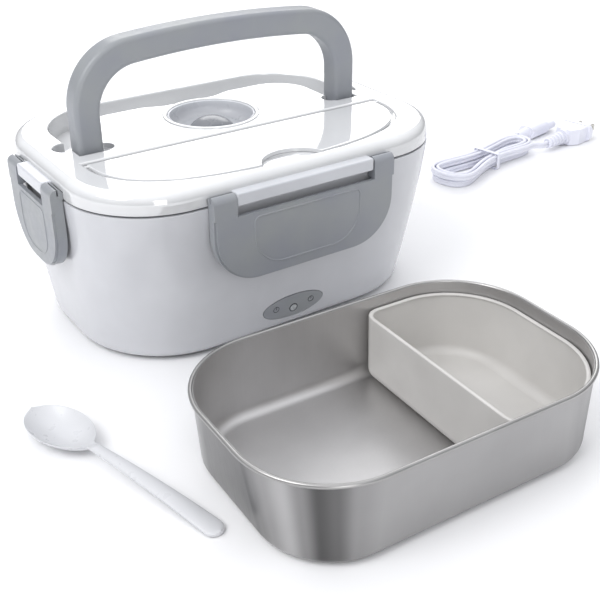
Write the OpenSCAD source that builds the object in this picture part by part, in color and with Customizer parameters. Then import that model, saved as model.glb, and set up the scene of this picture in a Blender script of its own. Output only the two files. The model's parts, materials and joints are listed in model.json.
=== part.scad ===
// Electric lunch box with a lift-off lid, four swing latches and a folding
// carrying handle. The steel food pan, its plastic tray, the spoon and the
// power cord lie beside the closed box, taken out for use.
// Origin: centre of the box on the plane of its feet. +X runs along the long
// side, -Y is the front with the indicator, +Z is up. Millimetres.

/* [Box] */
// Length of the box at the seam
box_w = 238; // [230:1:260]
// Depth of the box at the seam
box_d = 171; // [166:1:185]
// Height of the seam between case and lid
seam_z = 100; // [98:1:110]
// Height of the lid above the seam
lid_h = 12.4; // [12.2:0.1:15]
// Corner radius at the seam
corner_r = 52; // [50:1:56]
// How far each end draws in towards the base
end_taper = 6; // [4:0.5:8]
// How far front and back draw in towards the base
side_taper = 12; // [10:0.5:14]
// How much larger the corner radius is at the base
corner_growth = 8; // [6:0.5:9]
// Power of the wall's curve, 1 for a straight taper
belly = 1.25; // [1:0.05:1.5]
// Radius of the bottom edge
edge_r = 9; // [8:0.5:11]
// Wall of the case
case_wall = 2.4; // [2:0.1:2.8]
// Wall of the lid and of its wells
lid_wall = 2; // [1.6:0.1:2.4]

/* [Heating pan] */
// Top of the pan's flange, which carries the food pan's rim
ledge_z = 88; // [87:0.5:89]
// Upper face of the pan's floor
floor_z = 40; // [38:0.5:42]
// Thickness of the pan
pan_wall = 2; // [1.6:0.1:2.4]
// Radius of the heated plate that shows in the floor
plate_r = 33.7; // [30:0.1:38]
// Thickness of the base cover
cover_t = 2.7; // [2.4:0.1:3]
// Radius of a rubber foot
foot_r = 6.5; // [5:0.5:8]
// Height of a rubber foot
foot_h = 1.5; // [1:0.1:2]

/* [Handle] */
// Distance of the handle's legs inside the ends of the box
handle_in = 23; // [22:0.5:24.5]
// Distance of the folded handle's crown inside the back of the box
fold_in = 14.5; // [13.5:0.5:17]
// Width of a leg, seen from the front
leg_w = 15.2; // [14:0.1:16.5]
// Depth of the bar, front to back
bar_d = 15; // [13:0.1:15.5]
// Height of the grip bar
grip_h = 15.3; // [14:0.1:17]
// Rise of the crown over a straight bar
crown = 2.5; // [2:0.5:3.5]
// Distance of the pivots behind the middle of the box
handle_y = 3; // [2:0.5:4]
// Radius of the pivot pegs
peg_r = 3; // [2.5:0.1:3.4]

/* [Latches] */
// Distance of the long latches' ends from the corners' round
long_clear = 7; // [5:0.5:11]
// Distance of the short latches' ends from the corners' round
short_clear = 0.5; // [0:0.5:3]
// Length of each latch ear
ear_len = 14; // [12:0.5:15]
// Lowest point of a latch
latch_z = 53; // [52.5:0.5:58]
// How far a latch stands out from the lid
latch_out = 7.2; // [7:0.1:7.6]
// Thickness of the latch's face
latch_t = 2.4; // [2:0.1:2.6]
// Radius of the latch's lower corners
latch_r = 28; // [24:1:28]
// Radius of the hinge stubs
stub_r = 1.5; // [1.2:0.1:1.8]

/* [Lid fittings] */
// Distance of the spoon cover's tips inside the ends of the box
flap_in = 20; // [19:0.5:24]
// Distance of the spoon cover's front inside the front of the box
flap_front = 9; // [8:0.5:14]
// Thickness of the spoon cover
flap_t = 2.2; // [1.8:0.1:2.4]
// Distance of the spoon cover's straight edge in front of the middle
flap_y = 20.5; // [19:0.5:22]
// Gap that shows round the spoon cover
groove = 2.2; // [1.8:0.1:2.5]
// Radius of the vent well
well_r = 27.5; // [25:0.5:28]
// Distance of the vent well behind the middle
well_y = 16.5; // [15:0.5:17]
// Radius of the vent plug's dome
dome_r = 13.5; // [11:0.5:14.5]

/* [Food pan, tray and spoon] */
// Distance of the food pan's rim inside the ends of the box
pan_in = 19.2; // [17.5:0.1:24]
// Distance of the food pan's rim inside the front and back of the box
pan_side_in = 20.5; // [19:0.5:23.5]
// Height of the food pan
pan_h = 48; // [40:0.5:49]
// Corner radius of the rim
pan_r = 48.5; // [44:0.5:50]
// Thickness of the steel
steel_t = 0.8; // [0.6:0.1:1]
// Width of the rolled rim
rim_t = 1.6; // [1.4:0.1:2]
// Thickness of the plastic tray
tray_t = 1.6; // [1.2:0.1:2]
// Length of the tray
tray_w = 75; // [60:1:85]
// Length of the spoon
spoon_len = 137; // [130:1:145]
// Width of the spoon's bowl
bowl_w = 28.5; // [26:0.5:34]

/* [Power cord] */
// Width of the flat twin cord, which stands on edge
cord_w = 5.6; // [5:0.1:6]
// Thickness of the flat twin cord
cord_t = 3; // [2.6:0.1:3.2]
// Distance from one turn of the hank to the next
turn_pitch = 4; // [3.9:0.1:4.3]
// Half the length of the hank, along its outer turn
hank_half = 60; // [56:1:64]
// Radius of an inlet pin
inlet_pin_r = 1.2; // [1:0.1:1.3]
// Distance between the inlet pins
inlet_pitch = 8.6; // [8:0.1:9]

/* [Clearances] */
// Gap between pieces that part or slide past each other
gap = 0.3; // [0.2:0.05:0.4]
// Radial play of a peg or stub in its hole
play = 0.05; // [0.02:0.01:0.08]

/* [Hidden] */
$fn = 64;
skin_fn = 12;

// Colours
white = [0.94, 0.94, 0.95];
grey = [0.58, 0.60, 0.65];
pale_grey = [0.80, 0.81, 0.83];
steel = [0.66, 0.65, 0.64];
silver = [0.80, 0.81, 0.82];
clear_white = [0.93, 0.94, 0.94];
dark = [0.18, 0.18, 0.20];
green = [0.16, 0.42, 0.26];
red = [0.72, 0.16, 0.12];

// Sizes that follow from the box
handle_w = box_w - 2 * handle_in;
handle_rise = box_d / 2 - fold_in - handle_y;
long_latch = box_w - 2 * (corner_r + long_clear);
short_latch = box_d - 2 * (corner_r + short_clear);
flap_w = box_w - 2 * flap_in;
flap_d = box_d / 2 - flap_front - flap_y;
pan_w = box_w - 2 * pan_in;
pan_d = box_d - 2 * pan_side_in;

// Heights that follow
eps = 0.01;
lid_z0 = seam_z + gap;
deck_z = seam_z + lid_h;
base_z = foot_h;
bend_z = base_z + edge_r - 0.5;
case_levels = [base_z, base_z + 1.5, base_z + 4, bend_z, bend_z + 12, bend_z + 30, bend_z + 50,
    seam_z - 20, seam_z];
lid_edge_h = 7.4;
lid_edge_in = 6.4;
lid_steps = [0, 0.4, 0.68, 0.86, 0.96, 1];

// Smooth step from 0 to 1
function ramp(t) = let (k = min(1, max(0, t))) k * k * (3 - 2 * k);

// Outline of the case at a height, drawn in by inset
function draw_in(z) = pow(max(0, seam_z - z) / (seam_z - bend_z), belly);
function taper_at(z) = z > bend_z ? draw_in(z) : 1;
function edge_at(z) = z > bend_z ? 0 : edge_r - sqrt(max(0, edge_r * edge_r - pow(bend_z - z, 2)));
function case_w(z, inset = 0) = box_w - 2 * (end_taper * taper_at(z) + edge_at(z) + inset);
function case_d(z, inset = 0) = box_d - 2 * (side_taper * taper_at(z) + edge_at(z) + inset);
function case_r(z, inset = 0) = corner_r + corner_growth * taper_at(z) - edge_at(z) - inset;

// Rectangle with four corner radii at a height, as one ring of points
function box_ring(x0, x1, y0, y1, radii, z) = [for (corner = [0:3]) for (i = [0:skin_fn])
    let (a = 90 * corner + 90 * i / skin_fn,
        r = radii[corner],
        cx = (corner == 0 || corner == 3) ? x1 - r : x0 + r,
        cy = corner < 2 ? y1 - r : y0 + r)
    [cx + r * cos(a), cy + r * sin(a), z]];
function ring(w, d, r, z) = box_ring(-w / 2, w / 2, -d / 2, d / 2, [r, r, r, r], z);

// Closed skin through rings of equal length, from the lowest up
module loft(rings) {
    n = len(rings[0]);
    last = len(rings) - 1;
    polyhedron(
        points = [for (one = rings) each one],
        faces = concat([[for (k = [0:n - 1]) k]],
            [for (i = [0:last - 1]) for (k = [0:n - 1]) for (half = [0, 1])
                let (a = n * i + k, b = n * i + (k + 1) % n)
                half == 0 ? [a, a + n, b] : [b, a + n, b + n]],
            [[for (k = [n - 1:-1:0]) n * last + k]]));
}

// Exact rounded rectangle
module rounded(w, d, r) {
    square([w - 2 * r, d], center = true);
    square([w, d - 2 * r], center = true);
    for (sx = [-1, 1]) for (sy = [-1, 1])
        translate([sx * (w / 2 - r), sy * (d / 2 - r)]) circle(r);
}

// Flat plate with rounded corners between two heights
module plate(w, d, r, z0, z1) {
    translate([0, 0, z0]) linear_extrude(z1 - z0) rounded(w, d, r);
}

// Vertical pin or disc between two heights
module disc(r, z0, z1, at = [0, 0]) {
    translate([at[0], at[1], z0]) cylinder(r = r, h = z1 - z0);
}

// Round bar along X, from x0 to x1
module bar_x(r, x0, x1, y, z) {
    translate([x0, y, z]) rotate([0, 90, 0]) cylinder(r = r, h = x1 - x0);
}

module mirror_x() {
    children();
    mirror([1, 0, 0]) children();
}

// Case

// Latch hinge: distance out from the lid's side, height, and radius of an ear
ear_r = 3.8;
hinge_out = latch_out - ear_r;
hinge_z = deck_z - 9.8;
catch_out = 1.4;
catch_h = 4;
catch_z = seam_z - 18;
catch_root = 2.8;
rib_in = 6;
rib_h = 3;

// Indicator, on the slope of the front wall
panel_w = 43;
panel_h = 16;
panel_t = 1.6;
panel_proud = 0.4;
panel_z = 16.5;
panel_slope = atan(side_taper * belly / (seam_z - bend_z));
lens_r = 2.2;
lens_drop = 1.8;

// Indicator's circuit board, on two posts behind the front wall
board_w = 26;
board_h = 14;
board_t = 1.6;
board_y = -case_d(panel_z) / 2 + 11;
post_x = 10;
post_w = 3;
post_len = 9;

// Power inlet, on the back wall
inlet_z = 25;
inlet_w = 27.6;
inlet_h = 15.6;
bezel_w = 34;
bezel_h = 22;
bezel_r = 8;
inlet_depth = 19;
socket_w = 15.4;
socket_h = 7.8;
socket_depth = 13;
function back_wall(z) = case_d(z) / 2;
bezel_y = back_wall(inlet_z + bezel_h / 2) + 0.2;
bezel_t = 3.4;
pad_w = 42;
pad_h = 30;
pad_t = 3;

module on_front_slope() {
    translate([0, -case_d(panel_z) / 2, panel_z]) rotate([90 + panel_slope, 0, 0]) children();
}

module oval(w, h) {
    polygon([for (i = [0:47]) [w / 2 * cos(i * 7.5), h / 2 * sin(i * 7.5)]]);
}

module case_catch(length, reach) {
    translate([-length / 2, -reach - catch_out, catch_z])
        cube([length, catch_out + catch_root, catch_h]);
}

// Long latches sit front and back, short ones at the two ends
latch_sides = [[0, long_latch, box_d / 2], [180, long_latch, box_d / 2],
    [-90, short_latch, box_w / 2], [90, short_latch, box_w / 2]];
catch_inset = 20;

// Case's outer skin drawn in by inset, with its ends moved out by reach
module case_skin(inset, reach) {
    loft([for (z = case_levels) ring(case_w(z, inset), case_d(z, inset), case_r(z, inset),
        z + (z == base_z ? -reach : z == seam_z ? reach : 0))]);
}

module case_shell() {
    color(white) difference() {
        union() {
            difference() {
                case_skin(0, 0);
                case_skin(case_wall, 1);
            }
            intersection() {
                case_skin(case_wall / 2, 0);
                union() {
                    translate([-pad_w / 2, bezel_y - bezel_t - pad_t, inlet_z - pad_h / 2])
                        cube([pad_w, pad_t + bezel_t, pad_h]);
                    for (sx = [-1, 1]) translate([sx * post_x - post_w / 2, board_y - board_t - post_len,
                        panel_z - post_w / 2]) cube([post_w, post_len, post_w]);
                }
            }
            translate([0, 0, ledge_z - pan_wall - rib_h]) linear_extrude(rib_h) difference() {
                rounded(case_w(ledge_z, case_wall / 2 + 1), case_d(ledge_z, case_wall / 2 + 1), corner_r - 2);
                rounded(case_w(ledge_z, rib_in), case_d(ledge_z, rib_in), corner_r - rib_in);
            }
            for (side = latch_sides) rotate(side[0])
                case_catch(side[1] - 2 * (ear_len + catch_inset / 2), side[2]);
        }
        on_front_slope() translate([0, 0, -panel_t + panel_proud])
            linear_extrude(panel_t + 5) oval(panel_w + 2 * gap, panel_h + 2 * gap);
        on_front_slope() translate([0, -lens_drop, -10]) cylinder(r = lens_r + 1, h = 12);
        translate([0, bezel_y, inlet_z]) cube([inlet_w + 2 * gap, 30, inlet_h + 2 * gap], center = true);
        translate([0, bezel_y - bezel_t, inlet_z]) rotate([-90, 0, 0])
            linear_extrude(20) rounded(bezel_w + 2 * gap, bezel_h + 2 * gap, bezel_r);
    }
}

// Heating pan: flange on the case's ledge, well for the food pan, screw bosses
pan_fit = 1;
well_taper = 4.6;
well_side_taper = 1.2;
well_w = pan_w - 2 * rim_t + 2 * pan_fit;
well_d = pan_d - 2 * rim_t + 2 * pan_fit;
well_r0 = pan_r - rim_t + pan_fit;
well_edge = 6;
flange_in = 3.6;
boss_at = [box_w / 2 - 57, box_d / 2 - 47.5];
boss_r = 4.2;
screw_r = 1.5;
screw_len = 12;
head_r = 2.9;
head_h = 1.6;
hole_edge_r = plate_r + gap;
well_levels = [0, 0.03, 0.12, 0.3, 1];

function well_in(t) = t >= 1 ? 0 : (1 - t) * well_taper;
function well_side(t) = (1 - t) * well_side_taper;
function foot_of(t) = t > 0.3 ? 0 : well_edge * (1 - sqrt(1 - pow(1 - t / 0.3, 2)));

module well_skin(grow, z_low, z_high) {
    loft([for (t = well_levels)
        let (z = z_low + t * (z_high - z_low), e = foot_of(t))
        ring(well_w + 2 * (grow - well_in(t) - e), well_d + 2 * (grow - well_side(t) - e),
            well_r0 + grow - 6 * (1 - t) - e, z)]);
}

module heating_pan() {
    color(clear_white) difference() {
        union() {
            plate(case_w(ledge_z, flange_in), case_d(ledge_z, flange_in), corner_r - flange_in,
                ledge_z - pan_wall, ledge_z);
            well_skin(pan_wall, floor_z - pan_wall, ledge_z - eps);
            for (sx = [-1, 1]) for (sy = [-1, 1])
                disc(boss_r, base_z + cover_t, floor_z - pan_wall + 1, [sx * boss_at[0], sy * boss_at[1]]);
        }
        well_skin(0, floor_z, ledge_z + 1);
        disc(hole_edge_r, floor_z - pan_wall - 1, floor_z + 1);
        for (sx = [-1, 1]) for (sy = [-1, 1])
            disc(screw_r + play, 0, base_z + screw_len + 1, [sx * boss_at[0], sy * boss_at[1]]);
    }
}

// Heater
plate_flange_r = plate_r + 4.3;
plate_flange_t = 1.8;
plate_top = floor_z + 0.2;
plate_under = floor_z - pan_wall - plate_flange_t;
clamp_screw_x = plate_r - 2.7;
ptc_w = 2 * (clamp_screw_x - 6);
ptc_d = 24;
ptc_t = 5.6;
clamp_t = 1;
clamp_d = 16;
clamp_screw_r = 1.5;
thermostat_r = 7.5;
thermostat_h = 8;
thermostat_at = [0, 24];
fuse_r = 2;
fuse_len = 12;
fuse_y = -19;

module heating_plate() {
    color(silver) difference() {
        union() {
            disc(plate_r, floor_z - pan_wall, plate_top);
            disc(plate_flange_r, plate_under, floor_z - pan_wall);
        }
        for (sx = [-1, 1])
            disc(clamp_screw_r + play, plate_under - 1, plate_top - 1, [sx * clamp_screw_x, 0]);
    }
}

module ptc_heater() {
    color(dark) translate([-ptc_w / 2, -ptc_d / 2, plate_under - ptc_t]) cube([ptc_w, ptc_d, ptc_t]);
}

module heater_clamp() {
    strap_len = 2 * (clamp_screw_x - head_r - gap);
    ear = 12;
    color(silver) difference() {
        union() {
            translate([-strap_len / 2, -clamp_d / 2, plate_under - ptc_t - clamp_t])
                cube([strap_len, clamp_d, clamp_t]);
            for (sx = [-1, 1]) {
                translate([sx * (strap_len / 2 - clamp_t / 2) - clamp_t / 2, -clamp_d / 2,
                    plate_under - ptc_t - clamp_t]) cube([clamp_t, clamp_d, ptc_t + clamp_t]);
                translate([sx * clamp_screw_x - ear / 2 + sx * 2.5, -clamp_d / 2, plate_under - clamp_t])
                    cube([ear, clamp_d, clamp_t]);
            }
        }
        for (sx = [-1, 1])
            disc(clamp_screw_r + play, plate_under - 3, plate_under + 1, [sx * clamp_screw_x, 0]);
    }
}

module clamp_screws() {
    color(steel) for (sx = [-1, 1]) {
        disc(clamp_screw_r, plate_under - clamp_t - eps, plate_top - 1.5, [sx * clamp_screw_x, 0]);
        disc(head_r, plate_under - clamp_t - head_h, plate_under - clamp_t, [sx * clamp_screw_x, 0]);
    }
}

module thermostat() {
    color(dark) {
        disc(thermostat_r, plate_under - thermostat_h, plate_under, thermostat_at);
        for (sx = [-1, 1])
            translate([sx * 4 - 1.5, thermostat_at[1] - 0.4, plate_under - thermostat_h - 5])
                cube([3, 0.8, 5 + eps]);
    }
}

module thermal_fuse() {
    color(pale_grey) bar_x(fuse_r, -fuse_len / 2, fuse_len / 2, fuse_y, plate_under - fuse_r);
}

// Wires, as runs of thin tube with mitred corners
wire_r = 0.9;
wire_sides = 8;
wire_z = 20;
lead_y = bezel_y - inlet_depth;

function unit(v) = v / norm(v);
function wire_rings(points, ways, i, last_ring) = i > len(ways) ? [last_ring] :
    let (way = ways[i - 1],
        plane = i < len(ways) ? unit(way + ways[i]) : way,
        next = [for (p = last_ring) p + way * (((points[i] - p) * plane) / (way * plane))])
    concat([last_ring], wire_rings(points, ways, i + 1, next));

module wire(points) {
    ways = [for (i = [1:len(points) - 1]) unit(points[i] - points[i - 1])];
    side = unit(cross(ways[0], abs(ways[0][2]) < 0.9 ? [0, 0, 1] : [1, 0, 0]));
    up = cross(ways[0], side);
    first = [for (k = [0:wire_sides - 1])
        points[0] + wire_r * (side * cos(360 * k / wire_sides) + up * sin(360 * k / wire_sides))];
    loft(wire_rings(points, ways, 1, first));
}

module inner_wires() {
    pin_x = inlet_pitch / 2;
    tab_x = thermostat_h / 2;
    tab_z = plate_under - thermostat_h - 5;
    behind_y = thermostat_at[1] + 10;
    beside_x = -ptc_w / 2 - 1;
    clamp_x = -ptc_w / 2 + 7;
    fuse_z = plate_under - fuse_r;
    fuse_end = fuse_len / 2 + 10;
    lead_x = ptc_w / 2 - 3;
    heater_z = plate_under - ptc_t / 2;
    heater_y = -ptc_d / 2;
    color(red) wire([[pin_x, lead_y, inlet_z], [pin_x, lead_y - 6, inlet_z], [tab_x, behind_y, wire_z],
        [tab_x, thermostat_at[1], wire_z], [tab_x, thermostat_at[1], tab_z]]);
    color(red) wire([[-tab_x, thermostat_at[1], tab_z], [-tab_x, thermostat_at[1], wire_z],
        [clamp_x, 0, wire_z], [clamp_x, 0, plate_under - ptc_t - clamp_t]]);
    color(white) wire([[-pin_x, lead_y, inlet_z], [-pin_x, lead_y - 6, inlet_z],
        [beside_x, behind_y, wire_z], [beside_x, fuse_y, wire_z], [-fuse_end, fuse_y, fuse_z],
        [-fuse_len / 2, fuse_y, fuse_z]]);
    color(white) wire([[fuse_len / 2, fuse_y, fuse_z], [fuse_end, fuse_y, fuse_z],
        [lead_x, heater_y - 5, heater_z - 3], [lead_x, heater_y - 2.5, heater_z], [lead_x, heater_y, heater_z]]);
    color(white) wire([[6, board_y, panel_z + 3], [6, board_y + 8, panel_z + 3], [12, fuse_y - 11, wire_z],
        [fuse_end, fuse_y - 4, wire_z + 4], [fuse_end, fuse_y, fuse_z - wire_r]]);
}

// Base
feet_at = [box_w / 2 - 39, box_d / 2 - 39.5];
foot_stub_r = 2.5;
cover_in = case_wall + gap;

module base_cover() {
    color(white) difference() {
        plate(case_w(base_z, cover_in), case_d(base_z, cover_in), case_r(base_z, cover_in),
            base_z, base_z + cover_t);
        for (sx = [-1, 1]) for (sy = [-1, 1]) {
            disc(screw_r + play, 0, base_z + cover_t + 1, [sx * boss_at[0], sy * boss_at[1]]);
            disc(head_r + gap, 0, base_z + head_h, [sx * boss_at[0], sy * boss_at[1]]);
            disc(foot_stub_r + play, 0, base_z + cover_t + 1, [sx * feet_at[0], sy * feet_at[1]]);
        }
    }
}

module base_screws() {
    color(steel) for (sx = [-1, 1]) for (sy = [-1, 1]) translate([sx * boss_at[0], sy * boss_at[1], 0]) {
        disc(screw_r, base_z + head_h - eps, base_z + screw_len);
        difference() {
            disc(head_r, base_z + 0.1, base_z + head_h);
            for (turn = [0, 90]) rotate(turn) translate([-1.6, -0.3, 0]) cube([3.2, 0.6, base_z + 0.9]);
        }
    }
}

module rubber_foot(sx, sy) {
    color(pale_grey) {
        disc(foot_r, 0, base_z, [sx * feet_at[0], sy * feet_at[1]]);
        disc(foot_stub_r, base_z - eps, base_z + cover_t + 1, [sx * feet_at[0], sy * feet_at[1]]);
    }
}

module foot_front_left() { rubber_foot(-1, -1); }
module foot_front_right() { rubber_foot(1, -1); }
module foot_back_left() { rubber_foot(-1, 1); }
module foot_back_right() { rubber_foot(1, 1); }

// Power inlet: bezel on the back wall, body inside, socket with two pins
module stadium(w, h) {
    square([w - h, h], center = true);
    for (sx = [-1, 1]) translate([sx * (w - h) / 2, 0]) circle(h / 2);
}

module power_inlet() {
    color(white) difference() {
        union() {
            translate([0, bezel_y - bezel_t, inlet_z]) rotate([-90, 0, 0])
                linear_extrude(bezel_t) rounded(bezel_w, bezel_h, bezel_r);
            translate([-inlet_w / 2, lead_y, inlet_z - inlet_h / 2])
                cube([inlet_w, inlet_depth - 1, inlet_h]);
        }
        translate([0, bezel_y - socket_depth, inlet_z]) rotate([-90, 0, 0])
            linear_extrude(socket_depth + 1) stadium(socket_w, socket_h);
        for (sx = [-1, 1]) translate([sx * inlet_pitch / 2, lead_y - 1, inlet_z]) rotate([-90, 0, 0])
            cylinder(r = inlet_pin_r + play, h = inlet_depth - socket_depth + 2);
    }
}

module inlet_pins() {
    color(silver) for (sx = [-1, 1]) translate([sx * inlet_pitch / 2, lead_y, inlet_z]) rotate([-90, 0, 0])
        cylinder(r = inlet_pin_r, h = inlet_depth - 2);
}

// Indicator
led_r = 1.5;

module indicator_panel() {
    color(grey) on_front_slope() translate([0, 0, panel_proud - panel_t]) linear_extrude(panel_t)
        difference() {
            oval(panel_w, panel_h);
            translate([0, -lens_drop]) circle(lens_r + play);
        }
}

module indicator_lens() {
    color(white) on_front_slope() translate([0, -lens_drop, 0]) {
        translate([0, 0, -4]) cylinder(r = lens_r, h = 4 + panel_proud);
        translate([0, 0, panel_proud - 0.8]) intersection() {
            cylinder(r = lens_r, h = 3);
            translate([0, 0, -3.2]) sphere(r = 4.7);
        }
    }
}

module led_board() {
    led_z = panel_z - lens_drop - 1;
    color(green) translate([-board_w / 2, board_y - board_t, panel_z - board_h / 2])
        cube([board_w, board_t, board_h]);
    color(white) translate([0, board_y - board_t + eps, led_z]) rotate([90, 0, 0])
        cylinder(r = led_r, h = 3);
}

// Lid
lid_body_levels = [for (s = lid_steps) [s, lid_edge_in * (1 - sqrt(1 - s * s))]];
tub_floor = seam_z - 0.4;
tub_top = deck_z - eps;

// The channel that the folded handle lies in
ch_gap = 0.6;
ch_half = handle_w / 2 + ch_gap;
ch_back = handle_y + handle_rise + 4.7;
ch_front = handle_y - bar_d / 2 - 2.4;
ch_corner = corner_r - 11;
ch_in_half = handle_w / 2 - leg_w - ch_gap;
ch_in_back = handle_y + handle_rise - grip_h - crown - ch_gap - 0.6;
ch_in_corner = ch_corner - leg_w + 0.2;
scoop_half = 16;
scoop_slope = 18;
scoop_y = well_y + well_r + 3.2;
scoop_steps = 8;
pivot_z = deck_z - 4.9;
pivot_boss_r = 5;
pocket_r = 8;
pocket_at = [ch_half + 1.4, handle_y + 7.5];
pocket_depth = 7;
finger_r = 6;
finger_at = [ch_in_half - 0.2, handle_y - 3.5];
finger_depth = 3;

module channel_plan(grow) {
    r = ch_corner + grow;
    half = ch_half + grow;
    back = ch_back + grow;
    inner_half = ch_in_half - grow;
    inner_back = ch_in_back - grow;
    inner_r = ch_in_corner - grow;
    scoop_end = scoop_half + scoop_slope;
    difference() {
        union() {
            translate([-half, ch_front - grow]) square([2 * half, back - r - ch_front + grow]);
            translate([-half + r, 0]) square([2 * (half - r), back]);
            for (sx = [-1, 1]) translate([sx * (half - r), back - r]) circle(r);
        }
        translate([-inner_half, ch_front - 2 * grow - 1])
            square([2 * inner_half, inner_back - inner_r - ch_front + 2 * grow + 1]);
        translate([-inner_half + inner_r, 0]) square([2 * (inner_half - inner_r), inner_back]);
        for (sx = [-1, 1]) translate([sx * (inner_half - inner_r), inner_back - inner_r]) circle(inner_r);
    }
    translate([0, -grow]) polygon(concat([[-scoop_end, ch_in_back + grow + 1]],
        [for (i = [-scoop_steps:scoop_steps]) let (x = i / scoop_steps * scoop_slope + sign(i) * scoop_half)
            [x, scoop_y + (ch_in_back - scoop_y) * ramp(abs(i) / scoop_steps)]],
        [[scoop_end, ch_in_back + grow + 1]]));
}

// Outline of the spoon cover: straight behind, a soft curve in front
flap_power = 2.6;
notch_half = 20;
notch_depth = 14;
notch_r = (notch_half * notch_half + notch_depth * notch_depth) / (2 * notch_depth);
notch_y = -flap_y - flap_d + notch_depth - notch_r;
flap_axis_in = 2;
flap_axis_y = -flap_y - flap_axis_in;
flap_top = deck_z - gap;
flap_axis_z = flap_top - flap_t / 2;
flap_peg_r = 0.9;
flap_steps = 36;

module flap_plan(grow) {
    half = flap_w / 2 + grow;
    straight = -flap_y + grow;
    shoulder = min(straight - 0.01, -flap_y);
    depth = shoulder + flap_y + flap_d + grow;
    polygon(concat([[half, straight], [-half, straight]],
        [for (i = [0:flap_steps])
            let (a = 180 + 180 * i / flap_steps)
            [half * sign(cos(a)) * pow(abs(cos(a)), 2 / flap_power),
                shoulder - depth * pow(abs(sin(a)), 2 / flap_power)]]));
}

flap_ledge = 4;
flap_ledge_z = flap_top - flap_t - gap;
slot_z = flap_axis_z - 3;
tub_depth_z = seam_z + 0.6;
knuckle_gap = 0.4;
knuckle_low = 1.5;
knuckle_out = latch_out - 0.5;
ear_pocket = 0.35;

// White bar on the lid that carries one latch, seen on the front side
module knuckle(length, reach) {
    bar_half = length / 2 - ear_len - knuckle_gap;
    translate([-bar_half, -reach - knuckle_out, lid_z0])
        cube([2 * bar_half, knuckle_out + 1.5, hinge_z + ear_r - lid_z0 - 2]);
    translate([-bar_half, -reach - knuckle_out + 2, lid_z0])
        cube([2 * bar_half, knuckle_out - 0.5, hinge_z + ear_r - lid_z0]);
    translate([-bar_half, -reach - knuckle_out, lid_z0 - knuckle_low])
        cube([2 * bar_half, knuckle_out - gap - 0.2, knuckle_low + 1]);
    bar_x(2, -bar_half, bar_half, -reach - knuckle_out + 2, hinge_z + ear_r - 2);
}

module stub_holes(length, reach) {
    ear_x = length / 2 - ear_len;
    mirror_x() {
        bar_x(stub_r + play, ear_x - 6, ear_x + 1, -reach - hinge_out, hinge_z);
        bar_x(ear_r + ear_pocket, ear_x - knuckle_gap, length / 2 + 0.8, -reach - hinge_out, hinge_z);
    }
}

module lid_outer(inset) {
    loft(concat([ring(box_w - 2 * inset, box_d - 2 * inset, corner_r - inset, lid_z0 - (inset > 0 ? 1 : 0))],
        [for (level = lid_body_levels)
            ring(box_w - 2 * (inset + level[1]), box_d - 2 * (inset + level[1]),
                corner_r - inset - level[1],
                deck_z - lid_edge_h - inset * 0.9 + level[0] * lid_edge_h)]));
}

module lid_shell() {
    vent_hole_r = well_r + play;
    color(white) difference() {
        union() {
            difference() {
                lid_outer(0);
                lid_outer(lid_wall);
            }
            intersection() {
                lid_outer(0.5);
                union() {
                    translate([0, 0, lid_z0 - 1]) linear_extrude(tub_top - lid_z0) channel_plan(lid_wall);
                    translate([0, 0, lid_z0 - 1]) linear_extrude(slot_z - lid_z0)
                        flap_plan(lid_wall - flap_ledge);
                    translate([0, 0, slot_z - lid_wall]) linear_extrude(tub_top - slot_z + lid_wall)
                        flap_plan(groove + lid_wall);
                    mirror_x() disc(finger_r + lid_wall, deck_z - finger_depth - lid_wall, tub_top, finger_at);
                    mirror_x() disc(pocket_r + lid_wall, deck_z - pocket_depth - lid_wall, tub_top, pocket_at);
                    mirror_x() bar_x(pivot_boss_r, ch_half, ch_half + 5, handle_y, pivot_z);
                }
            }
            translate([0, 0, tub_floor - lid_wall]) linear_extrude(lid_wall + 1) channel_plan(lid_wall);
            translate([0, 0, tub_depth_z - lid_wall]) linear_extrude(lid_wall) flap_plan(lid_wall - flap_ledge);
            disc(well_r + 3, deck_z - eps, deck_z + 0.5, [0, well_y]);
            for (side = latch_sides) rotate(side[0]) knuckle(side[1], side[2]);
        }
        translate([0, 0, tub_floor]) linear_extrude(lid_h + 2) channel_plan(0);
        mirror_x() difference() {
            disc(pocket_r, deck_z - pocket_depth, deck_z + 1, pocket_at);
            bar_x(pivot_boss_r, ch_half, ch_half + 5, handle_y, pivot_z);
        }
        mirror_x() disc(finger_r, deck_z - finger_depth, deck_z + 1, finger_at);
        translate([0, 0, tub_depth_z]) linear_extrude(lid_h + 2) difference() {
            flap_plan(-flap_ledge);
            translate([0, notch_y]) circle(notch_r + 2);
            translate([-flap_w / 2, -flap_y - flap_ledge - 3]) square([flap_w, 10]);
        }
        translate([0, 0, flap_ledge_z]) linear_extrude(5) flap_plan(groove);
        translate([0, 0, flap_ledge_z - 2]) linear_extrude(5) intersection() {
            flap_plan(groove);
            translate([0, notch_y]) circle(notch_r);
        }
        translate([0, 0, slot_z]) linear_extrude(8) intersection() {
            flap_plan(groove);
            translate([-box_w, flap_axis_y - 3.2]) square([2 * box_w, 10]);
        }
        mirror_x() bar_x(flap_peg_r + play, flap_w / 2 - 2, flap_w / 2 + groove + lid_wall + 1,
            flap_axis_y, flap_axis_z);
        disc(vent_hole_r, lid_z0 - 5, deck_z + 2, [0, well_y]);
        mirror_x() bar_x(peg_r + play, ch_half - 1, ch_half + 6, handle_y, pivot_z);
        for (side = latch_sides) rotate(side[0]) stub_holes(side[1], side[2]);
    }
}

liner_in = 4.4;
liner_z = seam_z - 6;
liner_t = 1.8;
liner_flange_z = lid_z0 + 0.3;

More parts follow.
